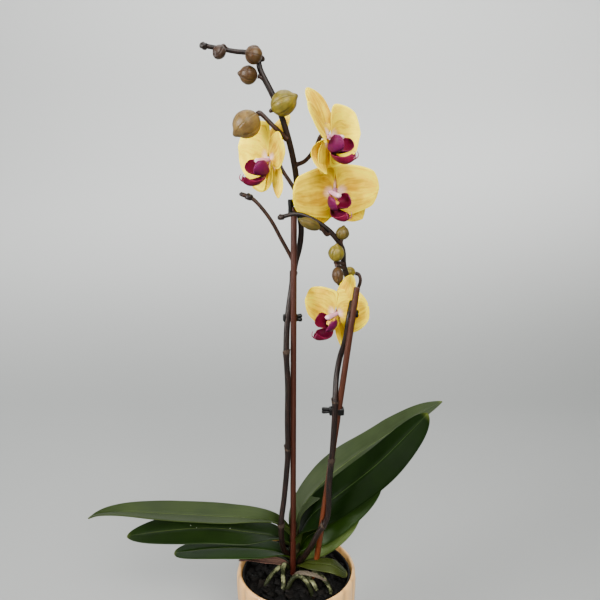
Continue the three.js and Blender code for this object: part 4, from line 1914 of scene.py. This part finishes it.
@dataclass
class Flower:
    """One open flower.

    Attributes:
        name: The start of its CAD nodes' names.
        centre: Where its middle is, in millimetres.
        yaw: Turns its face to the right, in degrees.
        pitch: Lifts its face.
        roll: Turns it clockwise as seen from its front.
        size: Scales its sepals and petals.
        own: What differs from TEPALS.
        lip_turn: Turns its lip and column further to the right, in degrees.
        pivot: How far in front of its middle they turn.
    """

    name: str
    centre: Row
    yaw: float
    pitch: float
    roll: float
    size: float
    own: dict[str, dict[str, float]]
    lip_turn: float = 0.0
    pivot: float = 18.0

    @property
    def pose(self) -> Matrix:
        """Where the flower is.

        Returns:
            The move and turns from its own frame.
        """
        turn = Matrix.Rotation(radians(self.yaw), 4, "Z")
        lift = Matrix.Rotation(radians(90 - self.pitch), 4, "X")
        spin = Matrix.Rotation(radians(-self.roll), 4, "Z")
        return shift(self.centre) @ turn @ lift @ spin

    def spot(self, depth: float) -> Row:
        """A place on the flower's axis, in millimetres."""
        return tuple(self.pose @ Vector((0, 0, depth * MM)) / MM)

    def build(self) -> None:
        """Builds and dresses the flower."""
        for number, (part, common) in enumerate(TEPALS.items()):
            shape = replace(common, **self.own.get(part, {}))
            shape = replace(shape, length=shape.length * self.size, width=shape.width * self.size)
            node = f"{self.name}_{part}"
            body = shape.build(f"{node}_form", self.pose, number + self.yaw * 0.1)
            front, back = (
                (Skins.PETAL, Skins.PETAL_BACK) if shape.kind is Kind.PETAL
                else (Skins.SEPAL, Skins.SEPAL_BACK)
            )
            # Petals that face the light take a lit copy of the skin, with more painted glow.
            if node in SUNLIT:
                front = Skins.SUNLIT
            elif node in HALF_LIT:
                front = Skins.HALF_LIT
            mount(coat(body, front, back), "petal_skin", node)
        middle = shift((0, 0, self.pivot))
        turn = Matrix.Rotation(radians(self.lip_turn), 4, "Y")
        inner = self.pose @ middle @ turn @ middle.inverted()
        Lip().build(f"{self.name}_lip", inner)
        Column().build(f"{self.name}_column", inner, self.pose)


FLOWERS = {
    "left": Flower(
        "flower_left", (-26, -4, 591.5), -55, -5, 3, 1.03,
        {
            "dorsal_sepal": {"angle": 94, "sweep": -24, "width": 34, "length": 42},
            "left_petal": {"sweep": 8, "length": 47, "width": 70, "angle": 165},
            "right_petal": {"angle": 27, "sweep": 12, "width": 31, "ear": 6, "length": 46},
            "left_sepal": {"angle": 222, "length": 44, "width": 34, "sweep": 4},
            "right_sepal": {"angle": 293, "sweep": 6, "width": 21},
        },
    ),
    "top": Flower(
        "flower_top", (31, -34, 612.5), 53, -5, 6, 1.1,
        {
            "dorsal_sepal": {"angle": 106, "sweep": -20, "length": 40},
            "left_petal": {
                "angle": 148, "width": 34, "length": 37, "sweep": -3, "twist": 35, "ear": 4,
            },
            "left_sepal": {"angle": 270, "sweep": 6, "length": 32, "width": 22, "arch": 8},
            "right_sepal": {"angle": 292, "sweep": -4, "length": 34},
        },
    ),
    "front": Flower(
        "flower_front", (39.5, -8, 560.5), 15, -16, -3, 1.03,
        {
            "dorsal_sepal": {"sweep": -23},
            "left_petal": {"angle": 180, "ear": 17},
            "right_petal": {"angle": 3, "ear": 17},
            "left_sepal": {"angle": 243, "length": 42},
            "right_sepal": {"angle": 315, "length": 47, "width": 32},
        },
        lip_turn=18,
    ),
    "low": Flower(
        "flower_low", (44, -5, 432.5), -45, -8, 14, 0.96,
        {
            "dorsal_sepal": {"angle": 79, "sweep": -4, "width": 22, "length": 49},
            "left_petal": {"angle": 180},
            "right_petal": {"angle": 32, "sweep": -11, "length": 37, "width": 50, "ear": 5},
            "right_sepal": {"angle": 285, "length": 48, "width": 20},
        },
    ),
}


# ---- Buds ----
class Hue(Enum):
    """The finishes of the buds, from the greenest to the darkest."""

    GREEN = BudSkin("bud_olive", "#5a5010", "#766818", "#3a2f0e")
    TAN = BudSkin("bud_tan", "#5a4420", "#786030", "#3c3416")
    OLIVE = BudSkin("bud_olive_brown", "#4a4012", "#5c4c18", "#2c1a0c")
    UMBER = BudSkin("bud_umber", "#3c260e", "#4e3818", "#20130a")
    DARK = BudSkin("bud_dark", "#2a1a12", "#3c2a1c", "#170d08")


@dataclass(frozen=True)
class Bud:
    """A closed bud from its stalk to its tip, in millimetres."""

    node: str
    base: Row
    tip: Row
    radius: float
    hue: Hue
    slot: str = "bud_brown"
    point: float = 0.05

    @property
    def axis(self) -> Vector:
        """The direction from its stalk to its tip."""
        return (Vector(self.tip) - Vector(self.base)).normalized()

    def stalk_end(self) -> list[Row]:
        """The last two points of the stalk that carries it."""
        end = Vector(self.base) - self.axis * 0.3
        return [tuple(end - self.axis * 2), tuple(end)]

    def build(self) -> None:
        """Builds and dresses the bud."""
        turn = UP.rotation_difference(self.axis)
        length = (Vector(self.tip) - Vector(self.base)).length

        def shape(spot: Vector) -> Vector:
            """Where a point of the unit sphere goes.

            Args:
                spot: A point of the unit sphere.

            Returns:
                The point, in metres.
            """
            along = 0.5 + spot.z / 2
            angle = atan2(spot.y, spot.x)
            seam = bump(abs(sin(1.5 * angle)), 0, 0.2) * sin(pi * along) ** 0.5
            keel = bump(abs(cos(1.5 * angle)), 0, 0.3) * smooth(along * 2)
            full = 1 - 0.16 * smooth((along - 0.4) * 1.6) - 0.35 * smooth((along - 0.8) * 5)
            full *= 1 - 0.07 * seam + 0.02 * keel + 0.03 * wobble(spot, 0.7, self.radius)
            reach = length * (along + self.point * smooth((along - 0.9) * 10))
            place = Vector((spot.x * self.radius * full, spot.y * self.radius * full, reach))
            return (turn @ place + Vector(self.base)) * MM

        body = ball(f"{self.node}_form", 48, 32, shape)
        mount(coat(body, self.hue.value), self.slot, self.node)


BUDS = {
    bud.node: bud
    for bud in (
        Bud("bud_tall_1", (-68.5, -26, 694), (-74, -35.5, 683), 6.2, Hue.DARK),
        Bud("bud_tall_2", (-33, -25, 685.5), (-45.5, -36, 687.5), 8.8, Hue.UMBER),
        Bud("bud_tall_3", (-36.5, -19, 669), (-54.5, -22, 671.5), 9, Hue.UMBER),
        Bud("bud_tall_4", (-22, -27, 637.5), (1, -36, 649.5), 12, Hue.GREEN, "bud_green"),
        Bud("bud_tall_5", (-37, -20, 634), (-59, -25.5, 614.5), 13.6, Hue.TAN),
        Bud("bud_arched_1", (24, -33, 525), (3, -38, 534.5), 5.6, Hue.OLIVE),
        Bud("bud_arched_2", (46, -24.5, 513), (48, -26.5, 527), 6.8, Hue.OLIVE, "bud_green"),
        Bud("bud_arched_3", (40.5, -25, 491.5), (41, -30, 509), 8.2, Hue.GREEN, "bud_green"),
        Bud("bud_arched_4", (41.5, -26, 485.5), (43.5, -28, 467.5), 6, Hue.UMBER),
        Bud("bud_arched_5", (63, 4, 474), (51, 4, 477), 6, Hue.GREEN, "bud_green"),
    )
}


# ---- Flower stems ----
@dataclass(frozen=True)
class Bract:
    """A dry scale at a stem's joint: its place along the stem and which way it points."""

    share: float
    turn: float
    height: float = 6.0


@dataclass
class Spike:
    """A flower stem with its joints, bracts, side stalks and growing tips.

    Attributes:
        node: The CAD node that it stands for.
        route: Its middle line in millimetres.
        radii: Its radius low down and at its end.
        bracts: The scales at its joints.
        stalks: Other stems that leave it, each with its route and radius.
        tips: Small growing tips, each with its place and radius.
    """

    node: str
    route: Rows
    radii: tuple[float, float]
    bracts: Sequence[Bract]
    stalks: Sequence[tuple[Rows, float]]
    tips: Sequence[tuple[Row, float]]

    STEM = StemSkin("stem_purple_brown", "#090504", "#22120c", "#18120a")
    STALK = StemSkin("stalk_brown", "#180c08", "#3c2418", "#2a2012")
    PAPER = DrySkin("bract_paper", "#564638", "#140c0a", "#2a201b")
    JOINT = 0.55
    END_TAPER = 0.78
    BRACT_THICKNESS = 0.35

    def _plain_radius(self, share: float) -> float:
        """The stem's radius away from its joints."""
        return mix(*self.radii, smooth((share - 0.5) * 2))

    def _main(self, path: Path) -> Object:
        """The main stem, thicker at each joint.

        Args:
            path: The stem's middle line.

        Returns:
            The stem.
        """

        def radius(share: float, angle: float) -> float:
            """The radius at a place on the stem."""
            joint = sum(bump(share, bract.share, 0.006) for bract in self.bracts)
            even = self._plain_radius(share) * mix(1, self.END_TAPER, smooth((share - 0.87) * 9))
            return even * (1 + 0.03 * wobble(path.at(share), 0.02)) + self.JOINT * min(joint, 1)

        return tube("stem", path, radius, sides=16, rings=190)

    def _bract(self, path: Path, bract: Bract) -> Object:
        """One clasping scale.

        Args:
            path: The stem's middle line.
            bract: Its place, turn and height.

        Returns:
            The scale.
        """
        normal, other = path.axes(bract.share)
        inner = self._plain_radius(bract.share) + self.JOINT

        def surface(along: float, across: float) -> Vector:
            """Where a place on the blade goes.

            Args:
                along: From 0 at its foot to 1 at its tip.
                across: From -1 at one edge to 1 at the other.

            Returns:
                The point, in metres.
            """
            angle = radians(bract.turn) + pi * 0.97 * across
            tall = 1.2 + (bract.height - 1.2) * cos(across * pi / 2) ** 1.6
            reach = path.at(bract.share + tall * along * MM / path.length)
            out = inner + 0.9 * along * along * cos(across * pi / 2)
            return reach + (normal * cos(angle) + other * sin(angle)) * out * MM

        return blade("bract", 10, 20, surface, self.BRACT_THICKNESS)

    def _stalk(self, rows: Rows, thickness: float) -> Object:
        """A side stalk that widens a little at both ends.

        Args:
            rows: Its middle line in millimetres.
            thickness: Its radius in millimetres.

        Returns:
            The stalk.
        """
        path = Path(rows)

        def radius(share: float, angle: float) -> float:
            """The radius at a place on the stem."""
            flare = 0.35 * bump(share, 0, 0.07) + 0.22 * smooth((share - 0.8) * 5)
            return thickness * (mix(1.05, 0.92, share) + flare)

        return tube("stalk", path, radius, sides=14, rings=40)

    def _tip(self, spot: Row, size: float, heading: Vector) -> Object:
        """A growing tip wrapped in tiny scales.

        Args:
            spot: Its middle, in millimetres.
            size: In millimetres.
            heading: Which way it points.

        Returns:
            The tip.
        """
        turn = UP.rotation_difference(heading)

        def shape(point: Vector) -> Vector:
            """Where a point of the unit sphere goes.

            Args:
                point: A point of the unit sphere.

            Returns:
                The point, in metres.
            """
            angle = atan2(point.y, point.x)
            scale = 1 + 0.1 * sin(3 * angle + point.z * 5) + 0.05 * sin(point.z * 9)
            grown = Vector((point.x * scale, point.y * scale, point.z * 1.3)) * size
            return (turn @ grown + Vector(spot)) * MM

        return ball("growing_tip", 24, 18, shape)

    def build(self) -> None:
        """Builds and dresses the stem."""
        path = Path(self.route)
        heading = path.heading(1)
        pieces = [coat(self._main(path), self.STEM)]
        pieces += [coat(self._stalk(rows, radius), self.STALK) for rows, radius in self.stalks]
        pieces += [coat(self._tip(spot, size, heading), self.STEM) for spot, size in self.tips]
        pieces += [coat(self._bract(path, each), self.PAPER) for each in self.bracts]
        mount(joined(f"{self.node}_form", pieces), "flower_stem", self.node)


BUD_STALK, FLOWER_STALK = 1.9, 2.1


def to_bud(name: str, *route: Row, radius: float = BUD_STALK) -> tuple[Rows, float]:
    """The stalk of a bud, from its place on the stem."""
    return [*route, *BUDS[name].stalk_end()], radius


def to_flower(name: str, *route: Row) -> tuple[Rows, float]:
    """The stalk of a flower, which ends square behind its middle."""
    flower = FLOWERS[name]
    return [*route, flower.spot(-8), flower.spot(-4.3)], FLOWER_STALK


SIDE_BRANCH = (
    (-1, 6.5, 483), (-6, 5, 493), (-16, 2, 512), (-25, 0, 529),
    (-35, -2, 543), (-45, -3, 553), (-55, -4, 557),
)
SPIKES = (
    Spike(
        "spike_tall",
        (
            (-2, 8, 134), (-9.5, 5, 138), (-14.5, -2, 148), (-17, -6, 168), (-17, -7, 190),
            (-14, -5, 214), (-9.5, -4, 268), (-9.5, -4, 310), (-9, -4.5, 352), (-10.5, -4.5, 390),
            (-9, -0.5, 426), (-5, 5, 456), (-1, 6.5, 483), (4, 6.5, 503), (5.5, 6, 522),
            (1.5, 3, 551), (0.5, -3, 573.5), (-4, -11, 599), (-12.5, -16, 629), (-21, -17, 650),
            (-33.5, -18, 674.5), (-38, -18, 688), (-60, -21, 691.5), (-87, -23, 696),
        ),
        (3.2, 2.9),
        (Bract(0.09, 60), Bract(0.24, 240), Bract(0.42, 60), Bract(0.553, 200, 8)),
        (
            (SIDE_BRANCH, FLOWER_STALK),
            to_flower("left", (1, 1, 558), (-5, 1, 568), (-13, 0, 580)),
            to_flower("top", (-1, -7, 586), (9, -12, 590), (19, -22, 602)),
            to_flower("front", (3, 4, 543), (14, 6, 553), (28, 4, 562)),
            to_bud("bud_tall_1", (-65, -21.5, 693), radius=1.7),
            to_bud("bud_tall_2", (-36, -18, 684), (-31, -20, 684)),
            to_bud("bud_tall_3", (-29, -18, 665)),
            to_bud("bud_tall_4", (-18, -17, 641)),
            to_bud("bud_tall_5", (-8.5, -14.5, 611), (-22, -21, 623.5), radius=2.3),
        ),
        (
            ((-48, -3.3, 554.5), 3.6), ((-55, -4, 557), 2.3), ((-69, -21.7, 694), 3.0),
            ((-86.2, -23, 695.6), 3.4),
        ),
    ),
    Spike(
        "spike_arched",
        (
            (1, 7, 124), (6, -4, 136), (13, -13, 153), (25, -19, 181), (34.5, -19, 199),
            (36.5, -21.5, 243), (39.5, -24.6, 286), (41.5, -25, 330), (42, -22, 348),
            (43.5, -14, 366), (46.8, -12, 385), (50.6, -17, 401), (52.8, -22.5, 414),
            (54.6, -23.5, 432), (58, -17, 446), (58.5, -8, 455), (55, -5, 467), (49.5, -12, 486),
            (47, -21, 504), (34.5, -26, 521), (16, -29, 534), (1.5, -30, 539), (-14.5, -32, 536),
        ),
        (3.1, 2.7),
        (Bract(0.16, 60), Bract(0.33, 220), Bract(0.47, 40)),
        (
            to_flower("low", (50.5, -15, 398), (54.5, 0, 412), (56, 9, 428)),
            to_bud("bud_arched_1", (34.5, -26, 520), (31, -29, 518.5)),
            to_bud("bud_arched_2", (46.5, -21.5, 505)),
            to_bud("bud_arched_3", (50, -12, 483), (45, -19, 484.5)),
            to_bud("bud_arched_4", (49, -14.5, 487), (44, -22, 489)),
            to_bud(
                "bud_arched_5", (56, 1, 450), (60, 3, 451), (66, 2, 458), (68.5, 2, 467),
                (67, 3, 472.5),
            ),
        ),
        (((-14.2, -32, 536), 3.0),),
    ),
)


# ---- Stakes and clips ----
@dataclass
class Stake:
    """A dyed stick with rounded ends and the faint rings of its joints."""

    node: str
    foot: Row
    top: Row
    skin: DyedWood
    radius: float = 3.3
    joints: Sequence[float] = (0.31, 0.68)

    def build(self) -> None:
        """Builds and dresses the stake."""
        axis = Vector(self.top) - Vector(self.foot)
        length, radius = axis.length, self.radius
        rows = [(radius - 0.8, 0.0), (radius - 0.2, 0.3), (radius, 0.9)]
        for joint in self.joints:
            place = joint * length
            rows += [(radius - 0.06, place - 3), (radius - 0.22, place - 0.5), (radius, place)]
            rows += [(radius - 0.04, place + 0.8), (radius - 0.06, place + 3)]
        rows += [(radius, length - 1.4), (radius - 0.25, length - 0.5), (radius - 0.9, length)]
        body = turned(f"{self.node}_form", rows, 28)
        turn = UP.rotation_difference(axis.normalized()).to_matrix().to_4x4()
        moved(body, shift(self.foot) @ turn)
        mount(coat(body, self.skin), "dyed_bamboo", self.node)


STAKES = (
    Stake(
        "stake_tall", (-4.5, -1, 24), (-2, -1, 544),
        DyedWood("bamboo_red", "#3a0c06", "#381609", "#160704", 0.1),
    ),
    Stake(
        "stake_short", (9.6, -3.2, 24), (62, -29, 465),
        DyedWood("bamboo_orange", "#5c280a", "#3c1a0a", "#180a05", 0.2),
    ),
)


class Reach(Enum):
    """Which way a clip's finger levers stand."""

    SIDE = "side"
    UP = "up"


@dataclass
class Clip:
    """A sprung black clip: a jaw behind a stake and a stem, a pin, and two finger levers.

    Attributes:
        node: The CAD node that it stands for.
        at: Its middle, in millimetres.
        along: Which way its jaw runs, in degrees from +X.
        width: The jaw's length.
        stems: Where the stake and stem sit in it, each with its radius.
        hand: The side that its levers are on: 1 for +X and -1 for -X.
        reach: Which way the levers stand.
        lever: A lever's length, depth and thickness.
        height: The jaw's height.
        closed: Whether its jaw closes in front of what it holds.
        clearance: The gap round what it holds.
        ridges: Grip ridges on each lever.
    """

    node: str
    at: Row
    along: float
    width: float
    stems: Profile
    hand: int
    reach: Reach = Reach.SIDE
    lever: Row = (8.0, 4.6, 3.2)
    height: float = 8.0
    closed: bool = False
    clearance: float = 0.25
    ridges: int = 3

    PLASTIC = Moulded("clip_black", "#020202", "#0a0a0a", 0.35)

    def _jaw(self) -> Object:
        """The jaw, bored for what it holds and open at the front.

        Returns:
            The jaw.
        """
        depth, back = (9.8, 0.0) if self.closed else (7.4, 2.0)
        jaw = block("jaw", (self.width, depth, self.height), 1.6, 4)
        moved(jaw, shift((0, back, 0)))
        for x, radius in self.stems:
            bore(jaw, drill((x * MM, 0, 0), radius + self.clearance, 20))
        return jaw

    def _levers(self) -> Object:
        """Two finger levers with grip ridges, and the pin between them.

        Returns:
            The levers and their pin.
        """
        length, depth, thickness = self.lever
        start = self.width / 2 - 1.5
        stand = Matrix.Rotation(0 if self.reach is Reach.SIDE else -pi / 2, 4, "Y")
        pieces = []
        for lift in (-1, 1):
            lever = block("lever", (length, depth, thickness), thickness * 0.42, 4)
            tilt = Matrix.Rotation(-0.04 * lift, 4, "Y")
            out = shift((length / 2, 0, 0.45 * thickness * lift))
            pieces.append(moved(lever, tilt @ out))
            for i in range(self.ridges):
                ridge = block("ridge", (0.7, depth - 1, 0.8), 0.3, 2)
                step = shift((length * (0.5 + 0.15 * i), 0, 0.94 * thickness * lift))
                pieces.append(moved(ridge, tilt @ step))
        pin = turned("pin", [(0.9, -3.6), (1.4, -3.2), (1.4, 3.2), (0.9, 3.6)], 16)
        pieces.append(moved(pin, Matrix.Rotation(pi / 2, 4, "X")))
        levers = joined("levers", pieces)
        mirror = Matrix.Identity(4) if self.hand > 0 else Matrix.Rotation(pi, 4, "Z")
        return moved(levers, shift((start * self.hand, 1.5, 0)) @ mirror @ stand)

    def build(self) -> None:
        """Builds and dresses the clip."""
        turn = Matrix.Rotation(radians(self.along), 4, "Z")
        body = joined(f"{self.node}_form", [self._jaw(), self._levers()])
        moved(body, shift(self.at) @ turn)
        choose(body)
        bpy.ops.object.shade_smooth_by_angle(angle=radians(40))
        mount(coat(body, self.PLASTIC), "clip_plastic", self.node)


CLIPS = (
    Clip(
        "clip_tall_lower", (-5.8, -0.8, 426), 8, 16, ((3.4, 3.3), (-3.4, 3.1)), 1,
        lever=(6.5, 4.6, 4.0),
    ),
    Clip(
        "clip_tall_upper", (0.3, 0.6, 539), 35, 14, ((-3.2, 3.3), (3.4, 2.8)), -1, Reach.UP,
        (13, 5.0, 2.2),
    ),
    Clip(
        "clip_short_lower", (43.6, -19.6, 328), 0, 16, ((3.5, 3.3), (-3.2, 3.0)), -1,
        lever=(9.5, 4.4, 3.0), closed=True,
    ),
    Clip("clip_short_upper", (58.7, -27.4, 437), 0, 9.6, ((0.0, 3.3),), 1, lever=(2.6, 4.4, 3.4)),
)


# ---- Studio ----
@dataclass
class Studio:
    """The camera, the soft lights and the floor that curves up into a wall, painted with shade."""

    camera: Row = (4.3, -626, 580)
    tilt: float = 12.1
    # The backdrop, painted darker low down and towards +X as shade.
    paper: Paper = Paper("backdrop_paper_shaded", "#7b7d7c", "#e8eae9")
    reach: float = 1.7
    tall: float = 3.2

    def _camera(self) -> None:
        """Places the camera."""
        lens = bpy.data.cameras.new("camera")
        lens.lens, lens.sensor_width = 36, 36
        lens.clip_start, lens.clip_end = 0.02, 20
        view = bpy.data.objects.new("camera", lens)
        view.location = Vector(self.camera) * MM
        view.rotation_euler = (radians(90 - self.tilt), 0, 0)
        bpy.context.scene.camera = link(view)

    def _light(
        self, name: str, place: Row, target: Row, power: float, size: float, colour: Colour,
        spread: float = 180.0,
    ) -> None:
        """Adds a square soft light, with its power in watts, that points at a target.

        Args:
            name: Its name.
            place: Where it hangs, in metres.
            target: What it points at, in metres.
            power: In watts.
            size: The length of its side, in metres.
            colour: Its colour.
            spread: Its beam, in degrees.
        """
        lamp = bpy.data.lights.new(name, "AREA")
        lamp.energy, lamp.size, lamp.color = power, size, colour
        lamp.spread = radians(spread)
        body = bpy.data.objects.new(name, lamp)
        body.location = place
        body.rotation_euler = (Vector(target) - Vector(place)).to_track_quat("-Z", "Y").to_euler()
        link(body)

    def _backdrop(self) -> None:
        """The floor, and the wall that it curves up into."""
        bpy.ops.object.select_all(action="DESELECT")
        bpy.ops.mesh.primitive_plane_add(size=1)
        sheet = take("backdrop")
        for vertex in sheet.data.vertices:
            vertex.co = Vector((vertex.co.x * 9, self.reach if vertex.co.y > 0 else -4, 0))
        bpy.ops.object.mode_set(mode="EDIT")
        bpy.ops.mesh.select_all(action="DESELECT")
        bpy.ops.object.mode_set(mode="OBJECT")
        for edge in sheet.data.edges:
            edge.select = all(sheet.data.vertices[i].co.y > 0 for i in edge.vertices)
        bpy.ops.object.mode_set(mode="EDIT")
        bpy.ops.mesh.select_mode(type="EDGE")
        bpy.ops.mesh.extrude_region_move(TRANSFORM_OT_translate={"value": (0, 0, self.tall)})
        bpy.ops.object.mode_set(mode="OBJECT")
        for edge in sheet.data.edges:
            ends = [sheet.data.vertices[i].co for i in edge.vertices]
            edge.select = all(end.y > 0 and end.z < 0.01 for end in ends)
        bpy.ops.object.mode_set(mode="EDIT")
        bpy.ops.mesh.bevel(offset=0.9, segments=24, affect="EDGES")
        bpy.ops.object.mode_set(mode="OBJECT")
        bpy.ops.object.shade_smooth()
        coat(sheet, self.paper)

    def build(self) -> None:
        """Sets up the studio."""
        self._camera()
        self._backdrop()
        world = bpy.data.worlds.new("room")
        world.use_nodes = True
        sky = world.node_tree.nodes["Background"]
        sky.inputs["Color"].default_value = (0.93, 0.96, 1.0, 1.0)
        sky.inputs["Strength"].default_value = 0.27
        bpy.context.scene.world = world
        plant = (0, 0, 0.45)
        self._light("key", (0.45, -1.65, 1.6), plant, 84, 1.1, (1.0, 0.97, 0.93))
        self._light("fill", (-1.6, -0.9, 1.05), (0, 0, 0.66), 8, 0.9, (1.0, 0.98, 0.95), 50)
        self._light("top", (-0.1, 0.2, 2.2), plant, 20, 1.4, (1.0, 1.0, 1.0))
        self._light("wash", (0, 0.75, 2.3), (0, 1.7, 0.9), 29, 2.2, (0.97, 1.0, 1.0))


def main() -> None:
    """Builds the orchid and its studio."""
    logging.basicConfig(level=logging.INFO, format="%(message)s")
    Studio().build()
    pots = CoverPot(), NurseryPot(), BarkBed()
    plant = CrownAndRoots(), *LEAVES, DryHusk()
    for part in (*pots, *plant, *STAKES, *CLIPS, *SPIKES, *BUDS.values(), *FLOWERS.values()):
        part.build()


if __name__ == "__main__":
    main()
